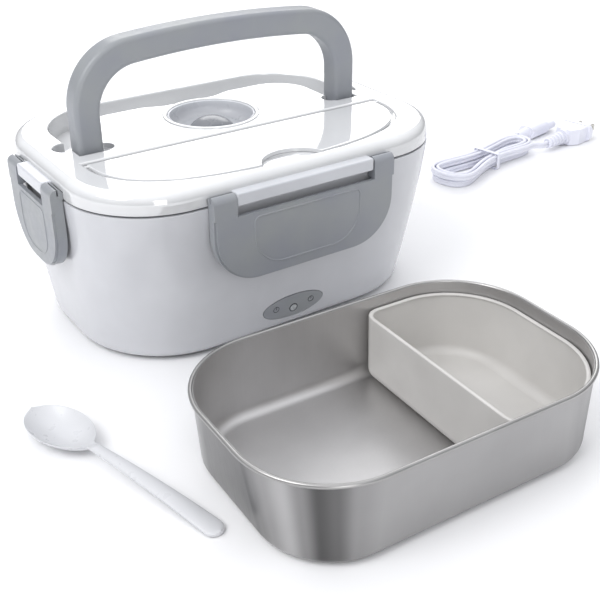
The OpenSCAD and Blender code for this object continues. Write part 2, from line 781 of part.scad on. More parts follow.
module lid_liner() {
    color(clear_white) difference() {
        union() {
            plate(box_w - 2 * liner_in, box_d - 2 * liner_in, corner_r - liner_in, liner_z, liner_flange_z);
            plate(box_w - 2 * (lid_wall + gap), box_d - 2 * (lid_wall + gap), corner_r - lid_wall - gap,
                liner_flange_z - eps, liner_flange_z + liner_t);
        }
        plate(box_w - 2 * (liner_in + liner_t), box_d - 2 * (liner_in + liner_t),
            corner_r - liner_in - liner_t, liner_z + liner_t, liner_flange_z + liner_t + 1);
        disc(stem_r + play, liner_z - 1, liner_z + liner_t + 1, [0, well_y]);
    }
}

seal_in = 1.4;
seal_w = 5;

module lid_seal() {
    inner_w = pan_w + 2 * seal_in;
    inner_d = pan_d + 2 * seal_in;
    color(pale_grey) translate([0, 0, ledge_z + gap]) linear_extrude(liner_z - ledge_z - gap) difference() {
        rounded(inner_w + 2 * seal_w, inner_d + 2 * seal_w, pan_r + seal_in + seal_w);
        rounded(inner_w, inner_d, pan_r + seal_in);
    }
}

// Vent: a cup set in the lid and a plug that lifts
cup_t = 1.6;
cup_floor = seam_z + 1.6;
cup_bend = 8;
stem_r = 3.4;
bulb_r = 4.6;
dome_h = 6;
plug_travel = 5;
cup_steps = 8;

module vent_cup() {
    inner_bend = cup_bend - cup_t;
    color(pale_grey) translate([0, well_y, 0]) rotate_extrude($fn = 96) difference() {
        union() {
            translate([0, cup_floor]) square([well_r - cup_bend, cup_t]);
            translate([well_r - cup_t, cup_floor + cup_bend]) square([cup_t, deck_z - cup_floor - cup_bend]);
            intersection() {
                translate([well_r - cup_bend, cup_floor + cup_bend]) difference() {
                    circle(cup_bend);
                    circle(inner_bend);
                }
                translate([well_r - cup_bend, cup_floor]) square([cup_bend, cup_bend]);
            }
        }
        translate([-1, cup_floor - 1]) square([1 + stem_r + play, cup_t + 2]);
    }
}

// Cap of a sphere, with its rim at z0
module dome_cap(r, h, z0) {
    ball = (r * r + h * h) / (2 * h);
    translate([0, 0, z0]) intersection() {
        translate([0, 0, h - ball]) sphere(r = ball, $fn = 96);
        cylinder(r = r, h = h + 1);
    }
}

module vent_plug() {
    plug_z = cup_floor + cup_t + gap;
    bulb_z = liner_z - gap - plug_travel - 1.2;
    color(pale_grey) translate([0, well_y, 0]) {
        dome_cap(dome_r, dome_h, plug_z + 1 - eps);
        disc(dome_r, plug_z, plug_z + 1);
        disc(stem_r, bulb_z, plug_z + eps);
        disc(bulb_r, bulb_z - 2, bulb_z + eps);
    }
}

module spoon_cover() {
    color(white) {
        translate([0, 0, flap_top - flap_t]) linear_extrude(flap_t) difference() {
            flap_plan(0);
            translate([0, notch_y]) circle(notch_r);
        }
        mirror_x() bar_x(flap_peg_r, flap_w / 2 - 3, flap_w / 2 + groove + lid_wall - 0.4,
            flap_axis_y, flap_axis_z);
    }
}

// Carrying handle, upright on its pegs
handle_corner = ch_corner - 2.5;
grip_corner = handle_corner - leg_w + 3;

shoulder_steps = 15;
crown_steps = 6;

// Right half of an arch with a round shoulder and a low crown that meets it smoothly
function arch_points(half, top, r, rise) =
    let (flat = half - r,
        ball = (flat * flat + rise * rise) / (2 * rise),
        centre_z = top - ball + sqrt(pow(ball - r, 2) - flat * flat),
        lean = asin(flat / (ball - r)))
    concat([for (i = [0:shoulder_steps]) let (a = (90 - lean) * i / shoulder_steps)
            [flat + r * cos(a), centre_z + r * sin(a)]],
        [for (i = [1:crown_steps - 1]) let (a = lean * (1 - i / crown_steps))
            [ball * sin(a), top - ball + ball * cos(a)]]);

module arch_plan(half, top, r, rise) {
    right = arch_points(half, top, r, rise);
    left = [for (i = [len(right) - 1:-1:0]) [-right[i][0], right[i][1]]];
    polygon(concat([[half, 0]], right, [[0, top]], left, [[-half, 0]]));
}

edge_cut = 2.6;
peg_len = 3.6;

module carry_handle() {
    half = handle_w / 2;
    color(grey) {
        intersection() {
            translate([0, handle_y + bar_d / 2, pivot_z]) rotate([90, 0, 0])
                linear_extrude(bar_d) difference() {
                    union() {
                        arch_plan(half, handle_rise, handle_corner, crown);
                        mirror_x() translate([half - leg_w, -bar_d / 2]) square([leg_w, bar_d]);
                    }
                    arch_plan(half - leg_w, handle_rise - grip_h, grip_corner, crown);
                    mirror([0, 1]) translate([-half + leg_w, -1]) square([2 * (half - leg_w), bar_d]);
                }
            translate([-half, handle_y, pivot_z]) rotate([90, 0, 90]) linear_extrude(2 * half) {
                circle(bar_d / 2);
                translate([-bar_d / 2, 0]) square([bar_d, handle_rise - edge_cut]);
                translate([-bar_d / 2 + edge_cut, 0]) square([bar_d - 2 * edge_cut, handle_rise + 1]);
                for (sy = [-1, 1]) translate([sy * (bar_d / 2 - edge_cut), handle_rise - edge_cut])
                    circle(edge_cut);
            }
        }
        mirror_x() bar_x(peg_r, half - 1, half + ch_gap + peg_len, handle_y, pivot_z);
    }
}

// One latch on the front side: face, skirt, ears with stubs, and hook
skirt_t = 2.2;
skirt_back = 0.5;
latch_round = 1.6;
notch_low = 9.2;
hook_z = catch_z - gap - 3.4;
hook_h = 3.4;

module latch_plan(length, inset) {
    half = length / 2 - inset;
    low = latch_z + inset;
    high = hinge_z;
    r = min(latch_r, length / 2 - 4) - inset;
    translate([-half, low + r]) square([2 * half, high - low - r]);
    translate([-half + r, low]) square([2 * (half - r), r + 1]);
    for (sx = [-1, 1]) translate([sx * (half - r), low + r]) circle(r);
}

module latch(length, reach) {
    ear_x = length / 2 - ear_len;
    front = -reach - latch_out;
    skirt_y = -reach - skirt_back;
    color(grey) difference() {
        union() {
            difference() {
                union() {
                    translate([0, skirt_y, 0]) rotate([90, 0, 0])
                        linear_extrude(latch_out - skirt_back - latch_round) latch_plan(length, 0);
                    translate([0, front + latch_round + eps, 0]) rotate([90, 0, 0])
                        linear_extrude(latch_round + eps) latch_plan(length, latch_round * 0.7);
                }
                translate([0, -reach + 1, 0]) rotate([90, 0, 0])
                    linear_extrude(latch_out + 1 - latch_t) latch_plan(length, skirt_t);
                translate([-length, front - 1, hinge_z - notch_low])
                    cube([2 * length, latch_out + 3, notch_low + 10]);
            }
            mirror_x() {
                translate([ear_x, -reach - hinge_out - ear_r, hinge_z - notch_low - eps])
                    cube([ear_len, ear_r + hinge_out - skirt_back, notch_low]);
                bar_x(ear_r, ear_x, length / 2, -reach - hinge_out, hinge_z);
                bar_x(stub_r, ear_x - 4.6, ear_x + 1, -reach - hinge_out, hinge_z);
            }
            translate([-length / 2 + ear_len + catch_inset / 2, front + latch_t - eps, hook_z])
                cube([length - 2 * ear_len - catch_inset,
                    latch_out - latch_t - catch_out - gap, hook_h]);
        }
        mirror_x() translate([ear_x - 1, -reach - hinge_out, hinge_z])
            cube([ear_len + 2, 1, 10]) ;
    }
}

module latch_front() { latch(long_latch, box_d / 2); }
module latch_back() { rotate(180) latch(long_latch, box_d / 2); }
module latch_left() { rotate(-90) latch(short_latch, box_w / 2); }
module latch_right() { rotate(90) latch(short_latch, box_w / 2); }

// Food pan, standing beside the box
food_at = [-21.8, -200.5];
food_turn = -2.5;
food_edge = 7;
food_taper = 6;
food_side_taper = 1.2;
food_levels = [0, 0.02, 0.06, 0.15, 1];

module at_food() {
    translate([food_at[0], food_at[1], 0]) rotate(food_turn) children();
}

function food_in(z) = food_taper * (1 - z / pan_h);
function food_side(z) = food_side_taper * (1 - z / pan_h);
function food_foot(z, e) = z > e ? 0 : e - sqrt(max(0, e * e - pow(e - z, 2)));

module food_skin(inset, z0, z1, edge) {
    loft([for (t = food_levels)
        let (z = z0 + t * (z1 - z0), e = food_foot(z - z0, edge))
        ring(pan_w - 2 * (rim_t + inset + food_in(z) + e),
            pan_d - 2 * (rim_t + inset + food_side(z) + e),
            pan_r - rim_t - inset - 9 * (1 - z / pan_h) - e, z)]);
}

module food_pan() {
    color(steel) at_food() difference() {
        union() {
            food_skin(0, 0, pan_h - eps, food_edge);
            plate(pan_w, pan_d, pan_r, pan_h - rim_t, pan_h);
        }
        food_skin(steel_t, steel_t, pan_h + 1, food_edge - steel_t);
    }
}

// Tray at one end of the food pan
tray_top = pan_h - 7;
tray_fit = 0.6;
tray_corner = 9;
tray_right = pan_w / 2 - rim_t - steel_t - tray_fit;
tray_levels = [0, 0.04, 0.1, 0.18, 1];

function tray_ring(inset, z, e) =
    let (in_x = rim_t + steel_t + tray_fit + food_in(z) + inset + e,
        half_d = pan_d / 2 - rim_t - steel_t - tray_fit - food_side(z) - inset - e,
        r = pan_r - rim_t - steel_t - tray_fit - 9 * (1 - z / pan_h) - inset - e,
        c = max(1, tray_corner - (inset + e) / 2))
    box_ring(tray_right - tray_w + inset + e, pan_w / 2 - in_x, -half_d, half_d, [r, c, c, r], z);

module tray_skin(inset, z0, z1, edge) {
    loft([for (t = tray_levels) let (z = z0 + t * (z1 - z0))
        tray_ring(inset, z, food_foot(z - z0, edge))]);
}

module divider_tray() {
    tray_z = steel_t + gap;
    color(clear_white) at_food() difference() {
        tray_skin(0, tray_z, tray_top, food_edge);
        tray_skin(tray_t, tray_z + tray_t, tray_top + 1, food_edge - tray_t);
    }
}

// Spoon, lying on the bottom of its bowl and the tip of its handle
spoon_at = [-159.3, -99];
spoon_turn = -73.7;
bowl_len = 47;
bowl_depth = 9;
spoon_t = 1.6;
neck_w = 5;
tip_w = 10.6;
handle_t = 2.4;

module spoon() {
    grip_len = spoon_len - bowl_len / 2;
    neck_x = bowl_len / 2 - 4;
    arc_rise = bowl_depth - handle_t;
    run = grip_len - neck_x;
    arc_r = (run * run + arc_rise * arc_rise) / (2 * arc_rise);
    color(white) translate([spoon_at[0], spoon_at[1], 0]) rotate(spoon_turn) {
        difference() {
            translate([0, 0, bowl_depth]) scale([bowl_len / bowl_w, 1, 2 * bowl_depth / bowl_w])
                sphere(d = bowl_w, $fn = 40);
            translate([0, 0, bowl_depth]) scale([(bowl_len - 2 * spoon_t) / (bowl_w - 2 * spoon_t), 1,
                2 * (bowl_depth - spoon_t) / (bowl_w - 2 * spoon_t)])
                sphere(d = bowl_w - 2 * spoon_t, $fn = 40);
            translate([-bowl_len, -bowl_len, bowl_depth]) cube([2 * bowl_len, 2 * bowl_len, 20]);
        }
        intersection() {
            linear_extrude(20) {
                polygon([[neck_x, -neck_w / 2], [grip_len - tip_w / 2, -tip_w / 2],
                    [grip_len - tip_w / 2, tip_w / 2], [neck_x, neck_w / 2]]);
                translate([grip_len - tip_w / 2, 0]) circle(tip_w / 2);
            }
            translate([neck_x, bowl_w, bowl_depth - arc_r]) rotate([90, 0, 0])
                linear_extrude(2 * bowl_w) difference() {
                    circle(arc_r, $fn = 360);
                    circle(arc_r - handle_t, $fn = 360);
                }
        }
    }
}

// Power cord: one flat cord laid up in a hank of two layers. A turn is drawn
// in at the waist by its formula, and each turn lies one pitch inside the last
// until the middle of the cord, from where they spiral out again on top.
hank_at = [284, 57];
hank_turn = 11;
waist_half = 9.2;
left_bulge = 30;
right_bulge = 18;
first_turn = 0.1;
last_turn = 3.9;
climb_turn = 1.75;
climb_span = 0.16;
rings_per_turn = 24;
layer_gap = 0.7;
tie_t = 0.7;
end_shift = 4.5;
plug_axis_z = 7.6;
connector_axis_z = 6.4;
cord_sides = [[0.3, 0.5], [0.5, 0], [0.3, -0.5], [-0.3, -0.5], [-0.5, 0], [-0.3, 0.5]];

function bulge(a) = cos(a) > 0 ? right_bulge : left_bulge;
function base_point(a) = [hank_half * cos(a), sin(a) * (waist_half + bulge(a) * pow(cos(a), 2))];
function base_way(a) = let (v = base_point(a + 0.5) - base_point(a - 0.5)) v / norm(v);
function inward(s) = turn_pitch * min(s - first_turn, 2 * climb_turn - first_turn - s);
function turn_point(s) =
    let (a = 360 * s, way = base_way(a), at = base_point(a) + inward(s) * [-way[1], way[0]],
        lift = tie_t + gap - 0.2,
        layer = ramp((s - climb_turn + climb_span / 2) / climb_span))
    [at[0], at[1], cord_w / 2 + lift * pow(sin(a), 8) + layer * (cord_w + layer_gap)];
turn_points = [for (i = [0:round((last_turn - first_turn) * rings_per_turn)])
    turn_point(first_turn + i / rings_per_turn)];

// Straight ends: the hank's first and last points run on to the connector and the plug
head = turn_points[0];
tail = turn_points[len(turn_points) - 1];
head_way = base_way(360 * first_turn);
tail_way = base_way(360 * last_turn);
head_end = [hank_half + 6, head[1], connector_axis_z];
tail_end = [hank_half + 6, tail[1] - end_shift, plug_axis_z];
head_points = [for (x = [0, cord_w, 11, 16]) let (k = ramp((x - cord_w) / (head_end[0] - head[0] - cord_w)))
    [head_end[0] - x * (head_end[0] - head[0]) / 20, head_end[1] + k * (head[1] - head_end[1]),
        head_end[2] + k * (head[2] - head_end[2])]];
tail_points = [for (x = [16, 11, cord_w, 0]) let (k = ramp((x - cord_w) / (tail_end[0] - tail[0] - cord_w)))
    [tail_end[0] - x * (tail_end[0] - tail[0]) / 20, tail_end[1] + k * (tail[1] - tail_end[1]),
        tail_end[2] + k * (tail[2] - tail_end[2])]];
cord_points = concat(head_points, turn_points, tail_points);
cord_count = len(cord_points);

function flat_way(i) = let (a = cord_points[max(0, i - 1)], b = cord_points[min(cord_count - 1, i + 1)],
    v = [b[0] - a[0], b[1] - a[1]]) v / norm(v);
function cord_ring(i) = let (p = cord_points[i], way = flat_way(i))
    [for (side = cord_sides) [p[0] - way[1] * side[0] * cord_t, p[1] + way[0] * side[0] * cord_t,
        p[2] + side[1] * cord_w]];

// Least gap of the hank to itself: points a third of a turn or more apart, less the cord's size
function apart(i, j) = let (v = cord_points[i] - cord_points[j], way = flat_way(i),
    across = abs(v[0] * way[1] - v[1] * way[0]) - cord_t, above = abs(v[2]) - cord_w,
    along = abs(v[0] * way[0] + v[1] * way[1]) - 4)
    max(across, above, along);
least_gap = min([for (i = [0:cord_count - 1]) for (j = [i + 8:cord_count - 1]) apart(i, j)]);
cord_length = [for (i = [1:cord_count - 1]) norm(cord_points[i] - cord_points[i - 1])] * [for (i = [1:cord_count - 1]) 1];
echo(least_gap = least_gap, cord_length = cord_length);

module at_hank() {
    translate([hank_at[0], hank_at[1], 0]) rotate(hank_turn) children();
}

module cord_hank() {
    sides = len(cord_sides);
    color(white) at_hank() polyhedron(
        points = [for (i = [0:cord_count - 1]) each cord_ring(i)],
        faces = concat([[for (k = [0:sides - 1]) k]],
            [for (i = [0:cord_count - 2]) for (k = [0:sides - 1]) for (half = [0, 1])
                let (a = sides * i + k, b = sides * i + (k + 1) % sides)
                half == 0 ? [a, a + sides, b] : [b, a + sides, b + sides]],
            [[for (k = [sides - 1:-1:0]) sides * (cord_count - 1) + k]]));
}

tie_w = 3.4;
tie_play = 0.7;
tie_r = 1;

module cord_tie() {
    back = waist_half - inward(0.25);
    front = waist_half - inward(climb_turn + 2);
    half = (back + front) / 2 + cord_t / 2 + tie_play;
    top = 2 * cord_w + layer_gap + tie_t + gap + tie_play;
    color(white) at_hank() translate([-tie_w / 2, (back - front) / 2, 0]) rotate([90, 0, 90]) linear_extrude(tie_w)
        difference() {
            translate([0, (top + tie_t) / 2]) rounded(2 * (half + tie_t), top + tie_t, tie_r + tie_t);
            translate([0, (top + tie_t) / 2]) rounded(2 * half, top - tie_t, tie_r);
        }
}

// Plug: ribbed relief, body with a flange, two flat prongs
relief_len = 22;
relief_r0 = 4.2;
relief_r1 = 6;
relief_ribs = 5;
relief_slot = 1.4;
plug_len = 26;
plug_w = 24;
plug_h = 15;
flange_t = 4.5;
flange_w = 30;
prong_len = 17;
prong_w = 6.3;
prong_t = 1.5;
prong_pitch = 12.7;
prong_hole_r = 1.6;

module at_plug() {
    at_hank() translate([tail_end[0], tail_end[1], plug_axis_z]) children();
}

module plug_relief() {
    step = relief_len / relief_ribs;
    color(white) at_plug() rotate([0, 90, 0]) difference() {
        cylinder(r1 = relief_r0, r2 = relief_r1, h = relief_len);
        for (i = [0:relief_ribs - 1]) translate([0, 0, (i + 0.5) * step]) difference() {
            cylinder(r = relief_r1 + 1, h = relief_slot);
            translate([0, 0, -1]) cylinder(r = relief_r0 - 1, h = relief_slot + 2);
        }
    }
}

module plug_body() {
    color(white) at_plug() difference() {
        union() {
            translate([relief_len, 0, 0]) rotate([0, 90, 0]) cylinder(r = relief_r1 + 1, h = 4);
            translate([relief_len + 3.5, 0, -plug_h / 2 + 0.6]) linear_extrude(plug_h - 1.2)
                polygon([[0, -relief_r1 - 1], [8, -plug_w / 2], [plug_len - 3, -plug_w / 2],
                    [plug_len - 3, plug_w / 2], [8, plug_w / 2], [0, relief_r1 + 1]]);
            translate([relief_len + plug_len - flange_t + 3, 0, 0]) rotate([90, 0, 90])
                linear_extrude(flange_t) rounded(flange_w, plug_h, 5);
        }
        for (sy = [-1, 1]) translate([relief_len + plug_len - 8, sy * prong_pitch / 2 - prong_t / 2 - play,
            -prong_w / 2 - play]) cube([20, prong_t + 2 * play, prong_w + 2 * play]);
    }
}

module plug_prongs() {
    root = relief_len + plug_len - 8;
    color(silver) at_plug() for (sy = [-1, 1]) difference() {
        translate([root, sy * prong_pitch / 2 - prong_t / 2, -prong_w / 2])
            cube([11 + prong_len, prong_t, prong_w]);
        translate([root + 11 + prong_len - 4.5, sy * prong_pitch / 2 + prong_t, 0]) rotate([90, 0, 0])
            cylinder(r = prong_hole_r, h = 2 * prong_t);
        for (sz = [-1, 1]) translate([root + 11 + prong_len, sy * prong_pitch / 2, sz * prong_w / 2])
            rotate([0, 45, 0]) cube([1.6, 2 * prong_t, 1.6], center = true);
    }
}

// Connector for the box's inlet
connector_len = 26;
nose_len = 12;
nose_play = 0.3;
boot_len = 14;

module cord_connector() {
    color(white) at_hank() translate([head_end[0], head_end[1], connector_axis_z]) difference() {
        union() {
            rotate([0, 90, 0]) cylinder(r1 = 3.6, r2 = 5, h = boot_len + eps);
            translate([boot_len, 0, 0]) rotate([90, 0, 90]) linear_extrude(connector_len)
                rounded(socket_w + 1, socket_h + 3.6, 5.2);
            translate([boot_len + connector_len - eps, 0, 0]) rotate([90, 0, 90])
                linear_extrude(nose_len) stadium(socket_w - 2 * nose_play, socket_h - 2 * nose_play);
        }
        for (sy = [-1, 1]) translate([boot_len + connector_len + nose_len - 10, sy * inlet_pitch / 2, 0])
            rotate([0, 90, 0]) cylinder(r = inlet_pin_r + play, h = 11);
    }
}

case_shell();
heating_pan();
heating_plate();
ptc_heater();
heater_clamp();
clamp_screws();
thermostat();
thermal_fuse();
inner_wires();
base_cover();
base_screws();
foot_front_left();
foot_front_right();
foot_back_left();
foot_back_right();
power_inlet();
inlet_pins();
indicator_panel();
indicator_lens();
led_board();
lid_shell();
lid_liner();
lid_seal();
vent_cup();
vent_plug();
spoon_cover();
carry_handle();
latch_front();
latch_back();
latch_left();
latch_right();
food_pan();
divider_tray();
spoon();
cord_hank();
cord_tie();
plug_body();
plug_prongs();
plug_relief();
cord_connector();
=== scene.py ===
# %% [markdown]
# # An electric lunch box
# The closed box stands upright with its handle raised. Its steel food pan, the
# tray that divides the pan, the spoon and the tied power cord lie beside it.
# The frame holds the moving bodies; every cell below dresses one piece of it.

# %% Frame
import json
import math
import bmesh
import bpy
from mathutils import Matrix, Vector


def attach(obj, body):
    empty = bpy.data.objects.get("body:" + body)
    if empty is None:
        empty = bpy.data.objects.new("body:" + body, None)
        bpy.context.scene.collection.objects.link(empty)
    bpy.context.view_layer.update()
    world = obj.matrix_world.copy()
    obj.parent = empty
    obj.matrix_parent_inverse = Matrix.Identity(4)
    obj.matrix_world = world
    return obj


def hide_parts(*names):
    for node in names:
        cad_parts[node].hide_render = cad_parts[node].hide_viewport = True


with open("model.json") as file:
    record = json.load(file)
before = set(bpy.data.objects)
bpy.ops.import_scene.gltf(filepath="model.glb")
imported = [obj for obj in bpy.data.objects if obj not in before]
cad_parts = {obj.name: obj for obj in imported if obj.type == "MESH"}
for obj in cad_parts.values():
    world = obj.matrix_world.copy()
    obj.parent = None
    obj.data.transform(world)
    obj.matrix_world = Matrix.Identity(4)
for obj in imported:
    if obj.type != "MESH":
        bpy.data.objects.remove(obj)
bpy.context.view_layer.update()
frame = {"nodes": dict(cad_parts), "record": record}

MM = 0.001
nodes = frame["nodes"]


def linked(name, data):
    """A new object for the data, in the scene."""
    made = bpy.data.objects.new(name, data)
    bpy.context.scene.collection.objects.link(made)
    return made


# %% [markdown]
# ## Camera
# The photograph was taken from above the front left corner, close enough for
# the box to taper in perspective. The place of the lens was solved from points
# of the box, so the camera is set by its place, its aim and its focal length.
# The small shift puts the optical axis where the photograph has it.

# %% Camera
CAMERA_AT = Vector((-282.5, -508.5, 310.0)) * MM
CAMERA_AZIMUTH = math.radians(-34.9008)
CAMERA_ELEVATION = math.radians(28.3360)
FOCAL_PIXELS = 979.577
PHOTO_SIZE = 600
SENSOR_WIDTH = 36
OPTICAL_AXIS = (320.604, 283.600)

lens = bpy.data.cameras.new("photo_lens")
lens.sensor_width = SENSOR_WIDTH
lens.lens = FOCAL_PIXELS / PHOTO_SIZE * SENSOR_WIDTH
lens.shift_x = (PHOTO_SIZE / 2 - OPTICAL_AXIS[0]) / PHOTO_SIZE
lens.shift_y = (OPTICAL_AXIS[1] - PHOTO_SIZE / 2) / PHOTO_SIZE
lens.clip_start = 0.01
camera = linked("photo_camera", lens)
back = Vector((math.sin(CAMERA_AZIMUTH) * math.cos(CAMERA_ELEVATION),
               -math.cos(CAMERA_AZIMUTH) * math.cos(CAMERA_ELEVATION),
               math.sin(CAMERA_ELEVATION)))
right = Vector((math.cos(CAMERA_AZIMUTH), math.sin(CAMERA_AZIMUTH), 0))
up = back.cross(right)
camera.matrix_world = Matrix.Translation(CAMERA_AT) @ Matrix((right, up, back)).transposed().to_4x4()
bpy.context.scene.camera = camera
print("camera", [round(c, 4) for c in camera.location], "lens", round(lens.lens, 2))

# %% [markdown]
# ## Colours and nodes
# Colours are written as sRGB hex, the way a colour picker gives them, and one
# function turns them to the linear values that shaders work in. One more
# function adds a node with its settings and links, so that each material
# below reads as a short list.

# %% Helpers for materials
def hex_colour(code):
    """Linear colour of an sRGB hex code."""
    parts = [int(code[i:i + 2], 16) / 255 for i in (1, 3, 5)]
    return [c / 12.92 if c <= 0.04045 else ((c + 0.055) / 1.055) ** 2.4 for c in parts] + [1]


def add_node(tree, kind, inputs=None, **settings):
    """A node of that kind; an input is a value, or a socket to link from."""
    node = tree.nodes.new(kind)
    for key, value in settings.items():
        setattr(node, key, value)
    for key, value in (inputs or {}).items():
        if isinstance(value, bpy.types.NodeSocket):
            tree.links.new(value, node.inputs[key])
        else:
            node.inputs[key].default_value = value
    return node


def new_material(name, inputs=None):
    """A material with a Principled shader, its tree, the shader and the object coordinates."""
    material = bpy.data.materials.new(name)
    material.use_nodes = True
    tree = material.node_tree
    tree.nodes.clear()
    shader = add_node(tree, "ShaderNodeBsdfPrincipled", inputs)
    add_node(tree, "ShaderNodeOutputMaterial", {"Surface": shader.outputs["BSDF"]})
    place = add_node(tree, "ShaderNodeTexCoord").outputs["Object"]
    return material, tree, shader, place


def grain(tree, place, size_mm, detail=2.0, stretch=(1, 1, 1)):
    """Noise with features of a real size, as a value about one half."""
    mapped = add_node(tree, "ShaderNodeMapping", {"Vector": place, "Scale": stretch})
    noise = add_node(tree, "ShaderNodeTexNoise",
                     {"Vector": mapped.outputs["Vector"], "Scale": 1 / (size_mm * MM), "Detail": detail})
    return noise.outputs["Fac"]


def spread(tree, value, low, high):
    """The value of a noise, brought from its usual range to low and high."""
    return add_node(tree, "ShaderNodeMapRange",
                    {"Value": value, "From Min": 0.3, "From Max": 0.7, "To Min": low, "To Max": high})


def tint(tree, value, dark, light):
    """Colour between two hex codes by a value."""
    return add_node(tree, "ShaderNodeMix",
                    {"Factor": value, "A": hex_colour(dark), "B": hex_colour(light)},
                    data_type="RGBA")


def toned(tree, shader, clouds, dark, light, fine, low, high):
    """Colour between two hex codes by one noise, and roughness by another."""
    colour = tint(tree, spread(tree, clouds, 0, 1).outputs["Result"], dark, light)
    for key, node in (("Base Color", colour), ("Roughness", spread(tree, fine, low, high))):
        tree.links.new(node.outputs["Result"], shader.inputs[key])


def bump(tree, shader, height, strength, depth_mm):
    """Relief on the shader from a height."""
    node = add_node(tree, "ShaderNodeBump",
                    {"Height": height, "Strength": strength, "Distance": depth_mm * MM})
    tree.links.new(node.outputs["Normal"], shader.inputs["Normal"])


def sizes_of(tree, output):
    """X, Y and Z of a texture coordinate, without their signs."""
    place = add_node(tree, "ShaderNodeTexCoord").outputs[output]
    split = add_node(tree, "ShaderNodeSeparateXYZ", {"Vector": place})
    return [add_node(tree, "ShaderNodeMath", {0: split.outputs[axis]}, operation="ABSOLUTE").outputs[0]
            for axis in "XYZ"]


def multiply_colour(material, share, tone):
    """Multiplies the base colour by a tone, as far as the share says."""
    tree = material.node_tree
    colour = next(node for node in tree.nodes if node.type == "BSDF_PRINCIPLED").inputs["Base Color"]
    mixed = add_node(tree, "ShaderNodeMix", {"Factor": share, "A": colour.links[0].from_socket, "B": tone},
                     data_type="RGBA", blend_type="MULTIPLY")
    tree.links.new(mixed.outputs["Result"], colour)


def shade_below(material, output, low, high, tone):
    """Darkens by the tone where the Z of a texture coordinate is small: in full below low, not above high."""
    tree = material.node_tree
    grey = add_node(tree, "ShaderNodeMapRange", {"Value": sizes_of(tree, output)[2], "From Min": low,
                                                 "From Max": high, "To Min": tone, "To Max": 1.0})
    multiply_colour(material, 1.0, grey.outputs["Result"])


# %% [markdown]
# ## Plastics
# Nearly all of the box is injection-moulded. The shell and the lid are glossy
# white ABS or polypropylene: the tool's polish gives sharp reflections, and a
# slow waviness, a few millimetres across, shows how the skin sank as it cooled.
# The grey parts have a fine satin, so their highlights are broad. Painted
# shade: the lid's upright walls and hollows and the vent's cup are darkened,
# and the case and the latch bars are darker copies of the lid's white.

# %% Plastics
def moulded(name, dark, light, roughness, wave, coat=0.0, sheen_mm=6.0, ior=1.52):
    """Injection-moulded plastic with a slow unevenness of tone, gloss and skin."""
    material, tree, shader, place = new_material(
        name, {"IOR": ior, "Coat Weight": coat, "Coat IOR": ior, "Coat Roughness": 0.06})
    broad = grain(tree, place, sheen_mm * 6, 3)
    fine = grain(tree, place, sheen_mm, 2)
    toned(tree, shader, broad, dark, light, fine, roughness * 0.85, roughness * 1.2)
    bump(tree, shader, fine, 0.25, wave)
    return material


# Painted shade: the case's white is a darker copy of the lid's white ABS, for its less lit upright walls.
white_abs_painted_shade = moulded("polished white ABS", "#C5C6CA", "#CCCDD1", 0.2, 0.04, 0.3)
deck_abs = moulded("mirror-polished white ABS lid", "#E2E3E5", "#E7E8E9", 0.06, 0.01, 1.0, ior=1.8)
# Painted shade: the latch bars' white is a darker copy of the lid's white ABS.
bar_abs_painted_shade = moulded("polished white ABS trim", "#C6C8CD", "#CDCFD4", 0.22, 0.03, 0.2)
grey_abs = moulded("satin grey ABS", "#8E9198", "#949799", 0.34, 0.004, 0.0, 4.0)
pale_abs = moulded("satin pale grey ABS", "#D2D4D9", "#D8DADF", 0.3, 0.02)
white_pp = moulded("satin white polypropylene", "#C3C1BE", "#CCCAC7", 0.38, 0.03)
cord_pvc = moulded("satin white PVC", "#E2E3EE", "#E8E9F3", 0.42, 0.05, 0.0, 3.0)
phenolic = moulded("dark phenolic moulding", "#262322", "#2E2A29", 0.5, 0.04)
fuse_ceramic = moulded("glazed white ceramic", "#D9D8D2", "#E2E1DC", 0.3, 0.03)
heater_film = moulded("dark polyimide film", "#3A2A1C", "#46331F", 0.3, 0.03)
board_mask = moulded("green solder mask", "#1F5A36", "#26683F", 0.3, 0.03)
wire_rubber = moulded("red silicone sleeve", "#A8392E", "#B64437", 0.5, 0.04, 0.0, 2.0)
# Painted shadow: this dark grey colours the lip in the seam, standing in for the seam's shadow.
seam_shadow_grey = moulded("dark grey painted seam shadow", "#4A4C50", "#525458", 0.6, 0.02, 0.0, 2.5)
silicone = moulded("soft pale silicone", "#CFD1D4", "#D8DADC", 0.6, 0.03, 0.0, 2.5)
spoon_pp = moulded("polished white polypropylene", "#CCCDD0", "#D2D3D6", 0.3, 0.003, 0.1)
dark_print = moulded("dark grey pad print", "#3C3E44", "#44464C", 0.5, 0.01)
plug_tpe = moulded("glossy grey elastomer", "#83858B", "#8B8D92", 0.24, 0.01, 0.2)
foot_rubber = moulded("matte grey rubber", "#9C9EA1", "#A7A9AC", 0.75, 0.06, 0.0, 1.5)
DECK_Z = 112.4
# Painted shade: the lid's upright walls and rounded edge are darkened as their normals turn from upright.
shade_below(deck_abs, "Normal", 0.05, 0.97, 0.84)
# Painted shade: the lid's hollows below the deck (groove, channel, pockets) are darkened.
shade_below(deck_abs, "Object", (DECK_Z - 4) * MM, (DECK_Z - 0.8) * MM, 0.96)
# Painted shade: light grey parts are darkened below the deck, fully from 9 mm down, so the vent's cup darkens
# towards its floor.
shade_below(pale_abs, "Object", (DECK_Z - 9) * MM, (DECK_Z - 1) * MM, 0.72)

# %% [markdown]
# ## Metals
# The food pan is deep-drawn from stainless sheet, which leaves faint lines
# along the walls and a satin floor, while the rolled rim is polished by hand.
# Metal colour comes from its reflections, so the base stays pale and the
# pattern goes into the roughness and a very shallow relief. A drawn corner
# gathers its surroundings into upright bands; on the pan's walls these are
# painted reflection, bands in the base colour that follow the direction the
# wall faces.

